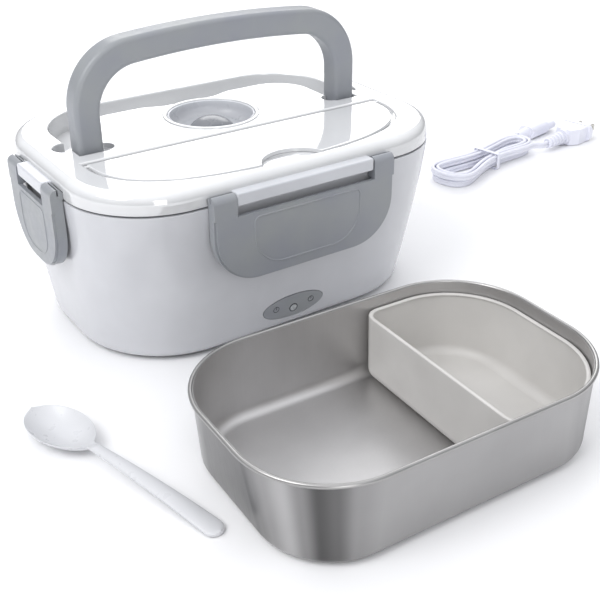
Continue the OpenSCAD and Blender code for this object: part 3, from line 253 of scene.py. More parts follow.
# %% Metals
def sheet_metal(name, dark, light, roughness, line_mm, stretch, depth_mm=0.01):
    """Metal with fine lines: the noise is stretched along the direction of working."""
    material, tree, shader, place = new_material(name, {"Metallic": 1})
    lines = grain(tree, place, line_mm, 4, stretch)
    toned(tree, shader, grain(tree, place, 30, 3), dark, light, lines, roughness * 0.92, roughness * 1.1)
    bump(tree, shader, lines, 0.3, depth_mm)
    return material


def painted_reflection_bands(material, tones):
    """Painted reflection: tones upright walls in bands by their direction, from a side wall to an end wall.
    """
    tree = material.node_tree
    across, along, level = sizes_of(tree, "Normal")
    turned_to = add_node(tree, "ShaderNodeMath", {0: across, 1: along}, operation="ARCTAN2").outputs[0]
    share = add_node(tree, "ShaderNodeMath", {0: turned_to, 1: math.pi / 2}, operation="DIVIDE").outputs[0]
    bands = add_node(tree, "ShaderNodeValToRGB", {"Fac": share})
    bands.color_ramp.interpolation = "EASE"
    steps = bands.color_ramp.elements
    while len(steps) < len(tones):
        steps.new(0.5)
    for step, (at, tone) in zip(steps, tones):
        step.position, step.color = at, (tone, tone, tone, 1)
    upright = add_node(tree, "ShaderNodeMapRange", {"Value": level, "From Min": 0.35, "From Max": 0.8,
                                                    "To Min": 1.0, "To Max": 0.0})
    multiply_colour(material, upright.outputs["Result"], bands.outputs["Color"])


UPRIGHT_LINES = (1, 1, 0.05)
drawn_steel = sheet_metal("deep-drawn stainless steel", "#AAA9A9", "#AFAEAE", 0.3, 1.4, UPRIGHT_LINES, 0.0012)
# Painted reflection: the steel's upright walls are toned in bands by the direction they face.
painted_reflection_bands(drawn_steel, [(0.0, 0.9), (0.2, 0.73), (0.34, 0.36), (0.45, 0.25), (0.56, 0.62), (0.68, 1.05),
                            (0.82, 0.78), (0.92, 0.6), (1.0, 0.44)])
satin_steel = sheet_metal("satin stainless steel, inside the pan", "#C4C3C3", "#CBCACA", 0.42, 1.4,
                          UPRIGHT_LINES, 0.0012)
rim_steel = sheet_metal("polished stainless rim", "#A3A2A1", "#AEADAC", 0.3, 2.0, (1, 1, 1), 0.002)
nickel = sheet_metal("nickel-plated brass", "#BDBBB4", "#CBC9C2", 0.18, 1.0, (0.2, 1, 1), 0.004)
zinc_steel = sheet_metal("zinc-plated steel", "#A9AAAC", "#B7B8BA", 0.3, 0.8, (1, 1, 1))
aluminium = sheet_metal("brushed aluminium", "#C9CACC", "#D5D6D8", 0.32, 0.8, (0.05, 1, 1))

# %% [markdown]
# ## Lens
# The indicator's lens is frosted clear acrylic over a small lamp that is off,
# so it is a pale, slightly cloudy plastic with most of its light let through.

# %% Lens
lens_clear, lens_tree, lens_shader, lens_place = new_material(
    "frosted clear acrylic", {"Roughness": 0.25, "IOR": 1.49, "Transmission Weight": 0.5})
cloud = grain(lens_tree, lens_place, 0.8)
lens_tint = tint(lens_tree, cloud, "#DDE1E2", "#EEF1F2")
lens_tree.links.new(lens_tint.outputs["Result"], lens_shader.inputs["Base Color"])
bump(lens_tree, lens_shader, cloud, 0.2, 0.02)

# %% Material of each slot
SLOT_MATERIALS = {
    "white_plastic": white_abs_painted_shade, "satin_white_plastic": white_pp, "grey_plastic": grey_abs,
    "light_grey_plastic": pale_abs, "light_grey_silicone": silicone, "seal_silicone": silicone,
    "foot_rubber": foot_rubber, "stainless_steel": drawn_steel, "spring_steel": zinc_steel,
    "screw_steel": zinc_steel, "aluminium_plate": aluminium, "heater_dark": heater_film,
    "phenolic_dark": phenolic, "fuse_body": fuse_ceramic, "wire_sleeve": wire_rubber,
    "plated_brass": nickel, "circuit_board": board_mask, "lens_clear": lens_clear,
    "cord_jacket": cord_pvc,
}
SLOT_OF = {part["node"]: part["material_slot"] for part in frame["record"]["subparts"]}
BODIES = frame["record"]["behaviour"]["bodies"]
BODY_OF = {node: body for body, members in BODIES.items() for node in members}
for name, node in nodes.items():
    for material_slot in node.material_slots:
        material_slot.material = SLOT_MATERIALS[SLOT_OF[name]]
print("slots dressed", len(set(SLOT_OF.values())))

# %% [markdown]
# ## Making pieces
# Each finished piece is a plain mesh at the origin that rides on a body. These
# helpers make such a piece from points, join rings into a skin, and round the
# sharp edges of a copy of a CAD node with a Bevel modifier, which is applied.

# %% Helpers for pieces
def add_piece(name, mesh, material, body, replaced=(), slot=None):
    """An object for the mesh that rides on a body and stands for CAD nodes."""
    piece = linked(name, mesh)
    mesh.materials.clear()
    mesh.materials.append(material)
    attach(piece, body)
    if replaced:
        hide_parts(*replaced)
        slot = slot or SLOT_OF[replaced[0]]
    return piece


def smooth(mesh):
    mesh.polygons.foreach_set("use_smooth", [True] * len(mesh.polygons))


def edited(mesh, *changes):
    """The mesh after each change has been made to it; a change takes a bmesh."""
    work = bmesh.new()
    work.from_mesh(mesh)
    for change in changes:
        change(work)
    work.to_mesh(mesh)
    work.free()
    return mesh


def face_outwards(work):
    bmesh.ops.recalc_face_normals(work, faces=work.faces)


def mesh_from(name, points, faces):
    """A smooth mesh with outward faces from points in millimetres."""
    mesh = bpy.data.meshes.new(name)
    mesh.from_pydata([Vector(p) * MM for p in points], [], faces)
    edited(mesh, lambda work: bmesh.ops.remove_doubles(work, verts=work.verts, dist=1e-6), face_outwards)
    smooth(mesh)
    return mesh


def skin_faces(count, rings, looped=False):
    """Faces of a skin through rings of count points; its ends are closed, or looped one to the other."""
    faces = [(r * count + k, r * count + (k + 1) % count,
              (r + 1) % rings * count + (k + 1) % count, (r + 1) % rings * count + k)
             for r in range(rings if looped else rings - 1) for k in range(count)]
    ends = [] if looped else [tuple(reversed(range(count))), tuple(range((rings - 1) * count, rings * count))]
    return faces + ends


def baked(holder):
    """The holder's mesh with its modifiers applied; the holder goes."""
    graph = bpy.context.evaluated_depsgraph_get()
    mesh = bpy.data.meshes.new_from_object(holder.evaluated_get(graph))
    bpy.data.objects.remove(holder)
    return mesh


def weighted(holder, weight):
    """The holder's mesh after its modifiers and a Weighted Normal."""
    even = holder.modifiers.new("even", "WEIGHTED_NORMAL")
    even.keep_sharp = True
    even.weight = weight
    return baked(holder)


def soften(mesh, width_mm, segments=3, angle=32):
    """Rounds the sharp edges of a mesh and evens the shading by face area."""
    flat = math.radians(1.2)
    edited(mesh, lambda work: bmesh.ops.remove_doubles(work, verts=work.verts, dist=2e-6),
           lambda work: bmesh.ops.dissolve_limit(work, angle_limit=flat, verts=work.verts, edges=work.edges))
    smooth(mesh)
    holder = linked("softening", mesh)
    edge = holder.modifiers.new("edge", "BEVEL")
    edge.width = width_mm * MM
    edge.segments = segments
    edge.limit_method = "ANGLE"
    edge.angle_limit = math.radians(angle)
    return weighted(holder, 80)


def softened_node(node, width_mm, segments=3):
    """A copy of a CAD node with rounded edges, in its place."""
    mesh = soften(nodes[node].data.copy(), width_mm, segments)
    mesh.name = node + "_soft"
    return add_piece(mesh.name, mesh, SLOT_MATERIALS[SLOT_OF[node]], BODY_OF[node], (node,))


# %% [markdown]
# ## The cord
# The cord is a flat twin lead that was folded into a hank at the factory and
# tied at its waist. It is made first, because it has to keep the place and
# length that the CAD gives it. One formula lays the turns: each lies one pitch
# inside the last, and halfway along the cord climbs and spirals out again.

# %% Path of the hank
CORD_WIDTH, CORD_THICK = 5.6, 3.0
TURN_PITCH, HANK_HALF, WAIST_HALF = 4.0, 60.0, 9.2
LEFT_BULGE, RIGHT_BULGE = 30.0, 18.0
FIRST_TURN, LAST_TURN, CLIMB_TURN, CLIMB_SPAN = 0.1, 3.9, 1.75, 0.16
LAYER_GAP, TIE_LIFT, END_SHIFT = 0.7, 0.8, 4.5
PLUG_AXIS_Z, CONNECTOR_AXIS_Z = 7.6, 6.4
HANK_AT, HANK_TURN = Vector((284, 57, 0)), math.radians(11)
RINGS_PER_TURN = 48


def ramp(t):
    k = min(1.0, max(0.0, t))
    return k * k * (3 - 2 * k)


def outer_turn(angle):
    """The hank's outermost turn, wide at both folds and narrow at the tie."""
    bulge = RIGHT_BULGE if math.cos(angle) > 0 else LEFT_BULGE
    return Vector((HANK_HALF * math.cos(angle),
                   math.sin(angle) * (WAIST_HALF + bulge * math.cos(angle) ** 2), 0))


def hank_point(turns):
    """The middle of the cord after so many turns."""
    angle = 2 * math.pi * turns
    way = (outer_turn(angle + 0.009) - outer_turn(angle - 0.009)).normalized()
    inward = TURN_PITCH * min(turns - FIRST_TURN, 2 * CLIMB_TURN - FIRST_TURN - turns)
    layer = ramp((turns - CLIMB_TURN + CLIMB_SPAN / 2) / CLIMB_SPAN)
    height = CORD_WIDTH / 2 + TIE_LIFT * math.sin(angle) ** 8 + layer * (CORD_WIDTH + LAYER_GAP)
    return outer_turn(angle) + Vector((-way.y, way.x, 0)) * inward + Vector((0, 0, height))


def lead_out(turn_end, end):
    """Points of a straight end, from the piece on it to the hank."""
    way = turn_end - end
    points = []
    for x in (0, 2.8, 5.6, 8, 11, 13.5, 16, 18):
        k = ramp((x - CORD_WIDTH) / (-way.x - CORD_WIDTH))
        points.append(end + Vector((way.x * x / 20, way.y * k, way.z * k)))
    return points


ring_count = round((LAST_TURN - FIRST_TURN) * RINGS_PER_TURN)
hank = [hank_point(FIRST_TURN + i / RINGS_PER_TURN) for i in range(ring_count + 1)]
connector_end = Vector((HANK_HALF + 6, hank[0].y, CONNECTOR_AXIS_Z))
plug_end = Vector((HANK_HALF + 6, hank[-1].y - END_SHIFT, PLUG_AXIS_Z))
route = lead_out(hank[0], connector_end) + hank + lead_out(hank[-1], plug_end)[::-1]


def on_hank(point):
    """A point of the hank's own drawing, laid beside the box."""
    return Matrix.Rotation(HANK_TURN, 3, "Z") @ Vector(point) + HANK_AT


# %% [markdown]
# The section of the lead is two round lobes, one on the other, because a flat
# twin cord lies on its edge in a hank. Sweeping that outline along the path
# keeps the narrow groove between the two conductors in view.

# %% Cord
LOBE_STEPS, LOBE_ARC = 9, 304


def twin_section():
    """Half width and height of the outline's points: two lobes and the groove between them."""
    lobe = CORD_WIDTH / 4
    outline = []
    for side, start in ((1, -62), (-1, 118)):
        for i in range(LOBE_STEPS):
            angle = math.radians(start + LOBE_ARC * i / (LOBE_STEPS - 1))
            outline.append((CORD_THICK / 2 * math.cos(angle) * 0.99,
                            side * lobe * 1.02 + lobe * 0.97 * math.sin(angle)))
    return outline


section = twin_section()
cord_points = []
for i, at in enumerate(route):
    ahead = route[min(i + 1, len(route) - 1)] - route[max(i - 1, 0)]
    ahead.z = 0
    ahead.normalize()
    side = Vector((-ahead.y, ahead.x, 0))
    cord_points += [on_hank(at + side * x + Vector((0, 0, z))) for x, z in section]
cord_mesh = mesh_from("cord", cord_points, skin_faces(len(section), len(route)))
cord = add_piece("cord", cord_mesh, cord_pvc, BODY_OF["cord_hank"], ("cord_hank",))
print("cord triangles", 2 * len(cord_mesh.polygons))

# %% Pieces on the cord
relief = softened_node("plug_relief", 0.35)
plug = softened_node("plug_body", 1.6, segments=4)
prongs = softened_node("plug_prongs", 0.2, segments=2)
connector = softened_node("cord_connector", 0.8, segments=3)
tie = softened_node("cord_tie", 0.25, segments=2)

# %% [markdown]
# ## Shells by formula
# The case, the lid, the food pan and its tray are shells of one family: at
# each height the outline is a rectangle with round corners, and the outline
# draws in towards the base. A loft through such rings, closed at both ends,
# gives smooth walls with far fewer faces than a sculpted surface. Each of the
# four sides has its turn, the reach of its wall and half the width of its latch.

# %% Helpers for shells
BOX_HALF = (119.0, 85.5)
SEAM_Z, LID_Z0 = 100.0, 100.3
CORNER_STEPS = 28
LONG_HALF, SHORT_HALF = 60.0, 33.0
SIDES = (("front", 0, BOX_HALF[1], LONG_HALF), ("back", 180, BOX_HALF[1], LONG_HALF),
         ("left", -90, BOX_HALF[0], SHORT_HALF), ("right", 90, BOX_HALF[0], SHORT_HALF))


def arc(radius, start, sweep, steps, centre=(0, 0)):
    """Points along part of a circle as pairs, from a start in degrees and over a sweep."""
    angles = [math.radians(start + sweep * i / steps) for i in range(steps + 1)]
    return [(centre[0] + radius * math.cos(a), centre[1] + radius * math.sin(a)) for a in angles]


def circle(radius, steps, centre=(0, 0)):
    return arc(radius, 0, 360, steps, centre)[:-1]


def at_height(pairs, z):
    return [(x, y, z) for x, y in pairs]


def corner_ring(x0, x1, y0, y1, radii, z, steps=CORNER_STEPS):
    """Points of a rectangle with four corner radii, at one height."""
    points = []
    for corner, radius in enumerate(radii):
        centre = (x1 - radius if corner in (0, 3) else x0 + radius,
                  y1 - radius if corner < 2 else y0 + radius)
        points += arc(radius, 90 * corner, 90, steps, centre)
    return at_height(points, z)


def ring(half_w, half_d, radius, z, steps=CORNER_STEPS):
    return corner_ring(-half_w, half_w, -half_d, half_d, [radius] * 4, z, steps)


def loft(name, rings, looped=False):
    """A closed skin through rings of equal length."""
    return mesh_from(name, [p for one in rings for p in one], skin_faces(len(rings[0]), len(rings), looped))


def rod(name, radius, ends, y, z, steps):
    """A round rod along X between two ends."""
    return loft(name, [[(x, a, b) for a, b in circle(radius, steps, (y, z))] for x in sorted(ends)])


def revolve(name, profile, centre, steps=96):
    """A profile of radius and height turned about a vertical line; radius 0 closes it."""
    points, faces = [], []
    size = len(profile)
    for k in range(steps):
        angle = 2 * math.pi * k / steps
        points += [(centre[0] + r * math.cos(angle), centre[1] + r * math.sin(angle), z) for r, z in profile]
        here, there = k * size, (k + 1) % steps * size
        for i in range(size):
            j = (i + 1) % size
            if profile[i][0] or profile[j][0]:
                faces.append((here + i, here + j, there + j, there + i))
    return edited(mesh_from(name, points, faces),
                  lambda work: bmesh.ops.dissolve_degenerate(work, edges=work.edges, dist=1e-7))


def drum(name, radius, z0, z1, centre):
    """A round block between two heights."""
    return revolve(name, [(0, z0), (radius, z0), (radius, z1), (0, z1)], centre)


def combine(mesh, cutters, operation="DIFFERENCE"):
    """The mesh after an exact Boolean with each of the cutters."""
    base = linked("base", mesh)
    helpers = [linked("cutter", cutter) for cutter in cutters]
    for helper in helpers:
        step = base.modifiers.new("cut", "BOOLEAN")
        step.operation, step.solver, step.object = operation, "EXACT", helper
    result = baked(base)
    for helper in helpers:
        bpy.data.objects.remove(helper)
    return result


def even_shading(mesh, sharp_angle=38):
    """Smooth shading that keeps flats flat, with creases past an angle."""
    smooth(mesh)
    mesh.set_sharp_from_angle(angle=math.radians(sharp_angle))
    return weighted(linked("shading", mesh), 90)


def box_mesh(name, low, high, edge=0.0, segments=3):
    """A box between two corners in millimetres, with rounded edges."""
    place = Matrix.LocRotScale(Vector([(a + b) / 2 for a, b in zip(low, high)]) * MM, None,
                               Vector([b - a for a, b in zip(low, high)]) * MM)
    changes = [lambda work: bmesh.ops.create_cube(work, size=1, matrix=place)]
    if edge:
        changes.append(lambda work: bmesh.ops.bevel(work, geom=list(work.edges), offset=edge * MM,
                                                    segments=segments, affect="EDGES", profile=0.5))
    return edited(bpy.data.meshes.new(name), *changes, face_outwards)


def joined(name, meshes):
    """One mesh of several."""
    return edited(bpy.data.meshes.new(name),
                  *[lambda work, mesh=mesh: work.from_mesh(mesh) for mesh in meshes])


def placed(x, y, degrees):
    """A place on the table in millimetres, with a turn."""
    return Matrix.Translation(Vector((x, y, 0)) * MM) @ Matrix.Rotation(math.radians(degrees), 4, "Z")


def turned(mesh, degrees):
    """The mesh turned about the box's upright axis."""
    mesh.transform(placed(0, 0, degrees))
    return mesh


# %% [markdown]
# ## The case
# The case is one moulding: its walls bow out gently from a smaller base to the
# seam. The same power law as in the CAD gives the bow. The wall is a second
# skin inside the first, with a small step under the seam, and the openings for
# the indicator and the power inlet are cut by Booleans.

# %% Case
END_TAPER, SIDE_TAPER, CORNER_R, CORNER_GROWTH = 6.0, 12.0, 52.0, 8.0
EDGE_R, BASE_Z, BELLY, CASE_WALL = 9.0, 1.5, 1.25, 2.4
BEND_Z = BASE_Z + EDGE_R - 0.5


def draw_in(z):
    return max(0.0, (SEAM_Z - z) / (SEAM_Z - BEND_Z)) ** BELLY if z > BEND_Z else 1.0


def case_ring(z, inset=0.0):
    edge = 0.0 if z > BEND_Z else EDGE_R - math.sqrt(max(0.0, EDGE_R ** 2 - (BEND_Z - z) ** 2))
    drawn = draw_in(z)
    inset += edge
    return ring(BOX_HALF[0] - END_TAPER * drawn - inset, BOX_HALF[1] - SIDE_TAPER * drawn - inset,
                CORNER_R + CORNER_GROWTH * drawn - inset, z)


def case_wall_y(z):
    return BOX_HALF[1] - SIDE_TAPER * draw_in(z)


OUTER_LEVELS = (BASE_Z, 1.8, 2.2, 2.8, 3.6, 4.6, 5.8, 7.2, 9, 11, 14, 18, 24, 32, 42, 54, 66, 78, 88, 96,
                98.7)
SEAM_STEPS = ((98.95, 0.08), (99.1, 0.3), (99.15, 0.6), (99.2, 1.3), (SEAM_Z, 1.4), (SEAM_Z, CASE_WALL - 0.2),
              (99.7, CASE_WALL))
case_rings = [case_ring(BASE_Z, CASE_WALL)] + [case_ring(z) for z in OUTER_LEVELS]
case_rings += [case_ring(z, inset) for z, inset in SEAM_STEPS]
case_rings += [case_ring(z, CASE_WALL) for z in (90, 78, 60, 40, 24, 14, 9, 6, 4, 2.6)]
case_mesh = loft("case", case_rings, looped=True)

PANEL_Z, PANEL_W, PANEL_H = 16.5, 43.0, 16.0
PANEL_SLOPE = math.atan(SIDE_TAPER * BELLY / (SEAM_Z - BEND_Z))
PANEL_PLACE = Matrix.Translation(Vector((0, -case_wall_y(PANEL_Z), PANEL_Z)) * MM) @ \
    Matrix.Rotation(math.pi / 2 + PANEL_SLOPE, 4, "X")
PANEL_GAP, PANEL_SEAT = 0.6, 1.2
panel_seat = loft("panel_seat", [[((PANEL_W + PANEL_GAP) * x, (PANEL_H + PANEL_GAP) * y, z)
                                  for x, y in circle(0.5, 96)] for z in (-PANEL_SEAT, 6)])
panel_seat.transform(PANEL_PLACE)
INLET_Z, INLET_W, INLET_H, INLET_R, BEZEL_DEPTH = 25.0, 34.6, 22.6, 8.3, 3.4
BEZEL_Y = case_wall_y(INLET_Z + 11) + 0.2
inlet = ring(INLET_W / 2, INLET_H / 2, INLET_R, 0, 12)
inlet_seat = loft("inlet_seat", [[(x, y, INLET_Z + z) for x, z, _ in inlet]
                                 for y in (BEZEL_Y - BEZEL_DEPTH, BEZEL_Y + 12)])
case_mesh = even_shading(combine(case_mesh, [panel_seat, inlet_seat]))
CATCH_IN, CATCH_LOW, CATCH_TOP = 24, 82, 86
catches = []
for _, turn, reach, latch_half in SIDES:
    half = latch_half - CATCH_IN
    catch = box_mesh("catch", (-half, -reach - 1.4, CATCH_LOW), (half, -reach + 2.6, CATCH_TOP), 0.4)
    catches.append(even_shading(turned(catch, turn)))
case_mesh = joined("case_body", [case_mesh] + catches)
smooth(case_mesh)
add_piece("case", case_mesh, white_abs_painted_shade, "case", ("case_shell",))
print("case faces", len(case_mesh.polygons))

# %% [markdown]
# ## The lid
# The lid is a shallow tray turned over, with soft edges all round. Its top has
# a channel that takes the folded handle, a compartment for the spoon and a
# hole for the vent. Where a rim shows, the cutter's top flares out along a
# quarter circle, so the Boolean leaves it rounded, as a moulding tool does.

# %% Outlines of the lid's hollows
CHANNEL_HALF, CHANNEL_BACK, CHANNEL_FRONT = 96.6, 75.7, -6.9
PLATEAU_HALF, PLATEAU_BACK = 80.2, 52.0
CHANNEL_CORNER, PLATEAU_CORNER = 41.0, 26.0
PIVOT_Y, PIVOT_Z, PIVOT_BOSS_R = 3.0, 107.5, 5.0
WELL_Y, WELL_R = 16.5, 27.5
SCOOP_HALF, SCOOP_DEPTH, SCOOP_SLOPE = 16.0, 4.8, 18.0
FLAP_HALF, FLAP_DEPTH, FLAP_Y, FLAP_POWER = 99.0, 56.0, 20.5, 2.6
GROOVE = 2.2
NOTCH_R, NOTCH_Y = 21.286, -83.786


def channel_outline(grow):
    """The U of the handle's channel round the plateau, whose back has a finger scoop."""
    half, back_edge, radius = CHANNEL_HALF + grow, CHANNEL_BACK + grow, CHANNEL_CORNER + grow
    front = CHANNEL_FRONT - grow
    points = [(half, front)] + arc(radius, 0, 90, 24, (half - radius, back_edge - radius))
    points += [(-x, y) for x, y in points[::-1]]
    half, back_edge, radius = PLATEAU_HALF - grow, PLATEAU_BACK - grow, PLATEAU_CORNER - grow
    inner = [(half, front)] + arc(radius, 0, 90, 18, (half - radius, back_edge - radius))
    for i in range(15):
        x = (SCOOP_HALF + SCOOP_SLOPE) * (1 - i / 14)
        dip = SCOOP_DEPTH * ramp((SCOOP_HALF + SCOOP_SLOPE - x) / SCOOP_SLOPE)
        inner.append((x, back_edge - dip))
    return points + [(-x, y) for x, y in inner[:-1]] + inner[::-1]


def flap_outline(grow, steps=120):
    """The spoon cover: straight behind, a full curve in front."""
    half, straight = FLAP_HALF + grow, -FLAP_Y + grow
    shoulder = min(straight - 0.01, -FLAP_Y)
    depth = shoulder + FLAP_Y + FLAP_DEPTH + grow
    points = [(half, straight), (-half, straight)]
    for i in range(steps + 1):
        c, s = math.cos(math.pi * (1 + i / steps)), math.sin(math.pi * (1 + i / steps))
        points.append((half * math.copysign(abs(c) ** (2 / FLAP_POWER), c),
                       shoulder - depth * abs(s) ** (2 / FLAP_POWER)))
    return points


def flared_cutter(name, outline, z0, deck, flare, steps=5):
    """A prism whose top opens along a quarter circle, up past the deck."""
    rings = [at_height(outline(0), z0)]
    for x, y in arc(1, 0, 90, steps):
        z = deck - flare + flare * y + (0.01 if y == 1 else 0)
        rings.append(at_height(outline(flare * (1 - x)), z))
    return loft(name, rings + [at_height(outline(flare + 0.05), deck + 4)])


# %% Lid
def lid_ring(inset, z):
    return ring(BOX_HALF[0] - inset, BOX_HALF[1] - inset, CORNER_R - inset, z)


LID_EDGE_H, LID_EDGE_IN = 7.4, 6.4
lid_steps = [(7, 97.4), (7, 102.7), (2, 102.7), (2, LID_Z0), (0.7, LID_Z0), (0.2, 100.5), (0, 100.9),
             (0, 103)]
lid_steps += [(LID_EDGE_IN * (1 - x), DECK_Z - LID_EDGE_H * (1 - y)) for x, y in arc(1, 0, 90, 12)]
lid_mesh = loft("lid", [lid_ring(inset, z) for inset, z in lid_steps])

FLAP_TOP, FLAP_T = DECK_Z - 0.3, 2.2
LEDGE_Z = FLAP_TOP - FLAP_T - 0.3
HINGE_OUT, HINGE_Z, EAR_R = 3.4, DECK_Z - 9.8, 3.8
POCKET_AT, POCKET_R, POCKET_DEPTH = (98, 10.5), 8, 7
FINGER_AT, FINGER_R, FINGER_DEPTH = (80, -0.5), 6, 3
HINGE_SLOT = (-99, -25.7, 108), (99, -18.4, 111)
RAMP_Y, RAMP_FALL = -78.3, 0.26
EAR_LEN, EAR_POCKET_R = 14.4, 4.15
compartment = loft("compartment", [at_height(flap_outline(-4), z)
                                   for z in (100.6, LEDGE_Z - 0.4, LEDGE_Z + 1)])
cutters = [flared_cutter("channel", channel_outline, 99.6, DECK_Z, 1.3),
           flared_cutter("groove", lambda grow: flap_outline(GROOVE + grow), LEDGE_Z, DECK_Z, 1.4),
           combine(compartment, [drum("notch_guard", NOTCH_R + 2, 90, 120, (0, NOTCH_Y))]),
           box_mesh("hinge_slot", *HINGE_SLOT),
           drum("vent_hole", WELL_R + 0.05, 90, 120, (0, WELL_Y))]
for side in (1, -1):
    boss = rod("pivot_boss", PIVOT_BOSS_R, [side * (CHANNEL_HALF - 4), side * (CHANNEL_HALF + 5)],
               PIVOT_Y, PIVOT_Z, 40)
    for (at_x, at_y), radius, depth, flare, kept in ((POCKET_AT, POCKET_R, POCKET_DEPTH, 1.0, [boss]),
                                                     (FINGER_AT, FINGER_R, FINGER_DEPTH, 0.5, [])):
        hole = flared_cutter("pocket", lambda grow: circle(radius + grow, 48, (side * at_x, at_y)),
                             DECK_Z - depth, DECK_Z, flare, 3)
        cutters.append(combine(hole, kept))
notch = arc(NOTCH_R, 18, 144, 48, (0, NOTCH_Y))
cutters.append(loft("finger_scoop", [[(x, y, DECK_Z - max(0.0, (y - RAMP_Y) * RAMP_FALL)) for x, y in notch],
                                     at_height(notch, DECK_Z + 5)]))
for _, turn, reach, latch_half in SIDES:
    for side in (1, -1):
        ear = rod("ear_pocket", EAR_POCKET_R, [side * (latch_half - EAR_LEN), side * (latch_half + 0.8)],
                  -reach - HINGE_OUT, HINGE_Z, 32)
        cutters.append(turned(ear, turn))
lid_mesh = even_shading(combine(lid_mesh, cutters), 34)
lid_mesh.name = "lid_body"
add_piece("lid", lid_mesh, deck_abs, "lid", ("lid_shell",))
print("lid faces", len(lid_mesh.polygons))

# %% [markdown]
# The bars that carry the latches are the one crisp form on the lid: each is a
# straight block with lightly rounded edges.

# %% Latch bars and vent ring
BAR_OUT, BAR_EDGE = 6.7, 1.1
for name, turn, reach, latch_half in SIDES:
    half = latch_half - EAR_LEN
    nose = box_mesh("bar_" + name, (-half, -reach - BAR_OUT, LID_Z0 - 1.5),
                    (half, -reach + 0.6, HINGE_Z + EAR_R), BAR_EDGE, 4)
    add_piece("latch_bar_" + name, even_shading(turned(nose, turn), 50), bar_abs_painted_shade, "lid", slot="white_plastic")

lip = [(27.4, DECK_Z - 1.5)] + [(28.9 - 1.5 * math.cos(a), DECK_Z + 0.15 + 0.75 * math.sin(a))
                                for a in (math.pi * i / 12 for i in range(13))] + [(30.4, DECK_Z - 0.4)]
lip_mesh = even_shading(revolve("vent_lip", lip, (0, WELL_Y)))
add_piece("vent_lip", lip_mesh, deck_abs, "lid", slot="white_plastic")

# %% [markdown]
# ## Vent
# The cup is a soft grey bowl with a wide fillet at its foot, and the plug in
# it is a low dome. Both are turned shapes, so each is one profile revolved.

# %% Vent
CUP_FLOOR = SEAM_Z + 1.6
CUP_HOLE, CUP_FLAT, CUP_OUT, CUP_WALL = 3.45, 19.5, 8, 1.6
fillet_at = (CUP_FLAT, CUP_FLOOR + CUP_OUT)
cup_profile = [(CUP_HOLE, CUP_FLOOR), (CUP_FLAT, CUP_FLOOR)] + arc(CUP_OUT, -81, 81, 9, fillet_at)
cup_profile += [(27.5, DECK_Z - 0.4), (27.3, DECK_Z - 0.1), (26.9, DECK_Z), (26.3, DECK_Z - 0.1),
                (25.9, DECK_Z - 0.5)]
cup_profile += arc(CUP_OUT - CUP_WALL, 0, -90, 10, fillet_at) + [(CUP_HOLE, CUP_FLOOR + CUP_WALL)]
add_piece("vent_cup_turned", even_shading(revolve("vent_cup_turned", cup_profile, (0, WELL_Y)), 60), pale_abs,
          "lid", ("vent_cup",))
PLUG_Z = CUP_FLOOR + 1.9
DOME_R, DOME_H = 13.5, 6
dome_ball = (DOME_R ** 2 + DOME_H ** 2) / (2 * DOME_H)
dome_lean = math.degrees(math.asin(DOME_R / dome_ball))
dome = [(0, 85.5), (4.3, 85.5), (4.6, 85.8), (4.6, 87.2), (4.3, 87.5), (3.4, 87.5), (3.4, PLUG_Z),
        (13.1, PLUG_Z), (DOME_R, PLUG_Z + 0.4)]
dome += arc(dome_ball, 90 - dome_lean, dome_lean, 16, (0, PLUG_Z + 1 + DOME_H - dome_ball))
add_piece("vent_plug_turned", even_shading(revolve("vent_plug_turned", dome, (0, WELL_Y)), 60), plug_tpe,
          "vent_plug", ("vent_plug",))

# %% [markdown]
# ## Spoon cover
# A thin flap with a crisp but broken edge and a round bite at its front for a
# fingertip. It is a loft of its own outline, bitten by a cylinder.

# %% Spoon cover
FLAP_BASE = FLAP_TOP - FLAP_T
COVER_PEG_R, COVER_PEG_FROM, COVER_PEG_TO, COVER_AXIS = 0.9, 96, 102.8, (-22.5, 111)
flap_steps = ((-0.4, FLAP_BASE), (0, FLAP_BASE + 0.4), (0, FLAP_TOP - 1), (-0.3, FLAP_TOP - 0.3),
              (-1, FLAP_TOP))
flap_rings = [at_height(flap_outline(grow), z) for grow, z in flap_steps]
bite_steps = ((0, 100), (0, FLAP_TOP - 0.5), (0.15, FLAP_TOP - 0.15), (0.5, FLAP_TOP + 0.01), (0.6, 116))
bite_profile = [(0, 100)] + [(NOTCH_R + out, z) for out, z in bite_steps] + [(0, 116)]
bite = revolve("bite", bite_profile, (0, NOTCH_Y))
flap_mesh = even_shading(combine(loft("spoon_flap", flap_rings), [bite]), 40)
hinge_pegs = [rod("peg", COVER_PEG_R, [side * COVER_PEG_FROM, side * COVER_PEG_TO], *COVER_AXIS, 20)
              for side in (1, -1)]
flap_mesh = joined("spoon_flap", [flap_mesh] + [even_shading(peg, 50) for peg in hinge_pegs])
add_piece("spoon_flap", flap_mesh, deck_abs, "spoon_cover", ("spoon_cover",))

# %% [markdown]
# ## Handle
# The handle is one bar with well-rounded edges that runs up a leg, round a
# shoulder, over a low crown and down again. Each section of the bar lies
# between a point of the outer arch and its partner on the inner arch.

# %% Handle
HANDLE_HALF, HANDLE_RISE, BAR_W, BAR_D, GRIP_H, CROWN = 96.0, 68.0, 15.2, 15.0, 15.3, 2.5
HANDLE_CORNER, HANDLE_EDGE, PEG_R, PEG_END = 38.5, 3.0, 3.0, 100.2
SHOULDER_STEPS, CROWN_STEPS, FOOT_STEPS = 24, 16, 9


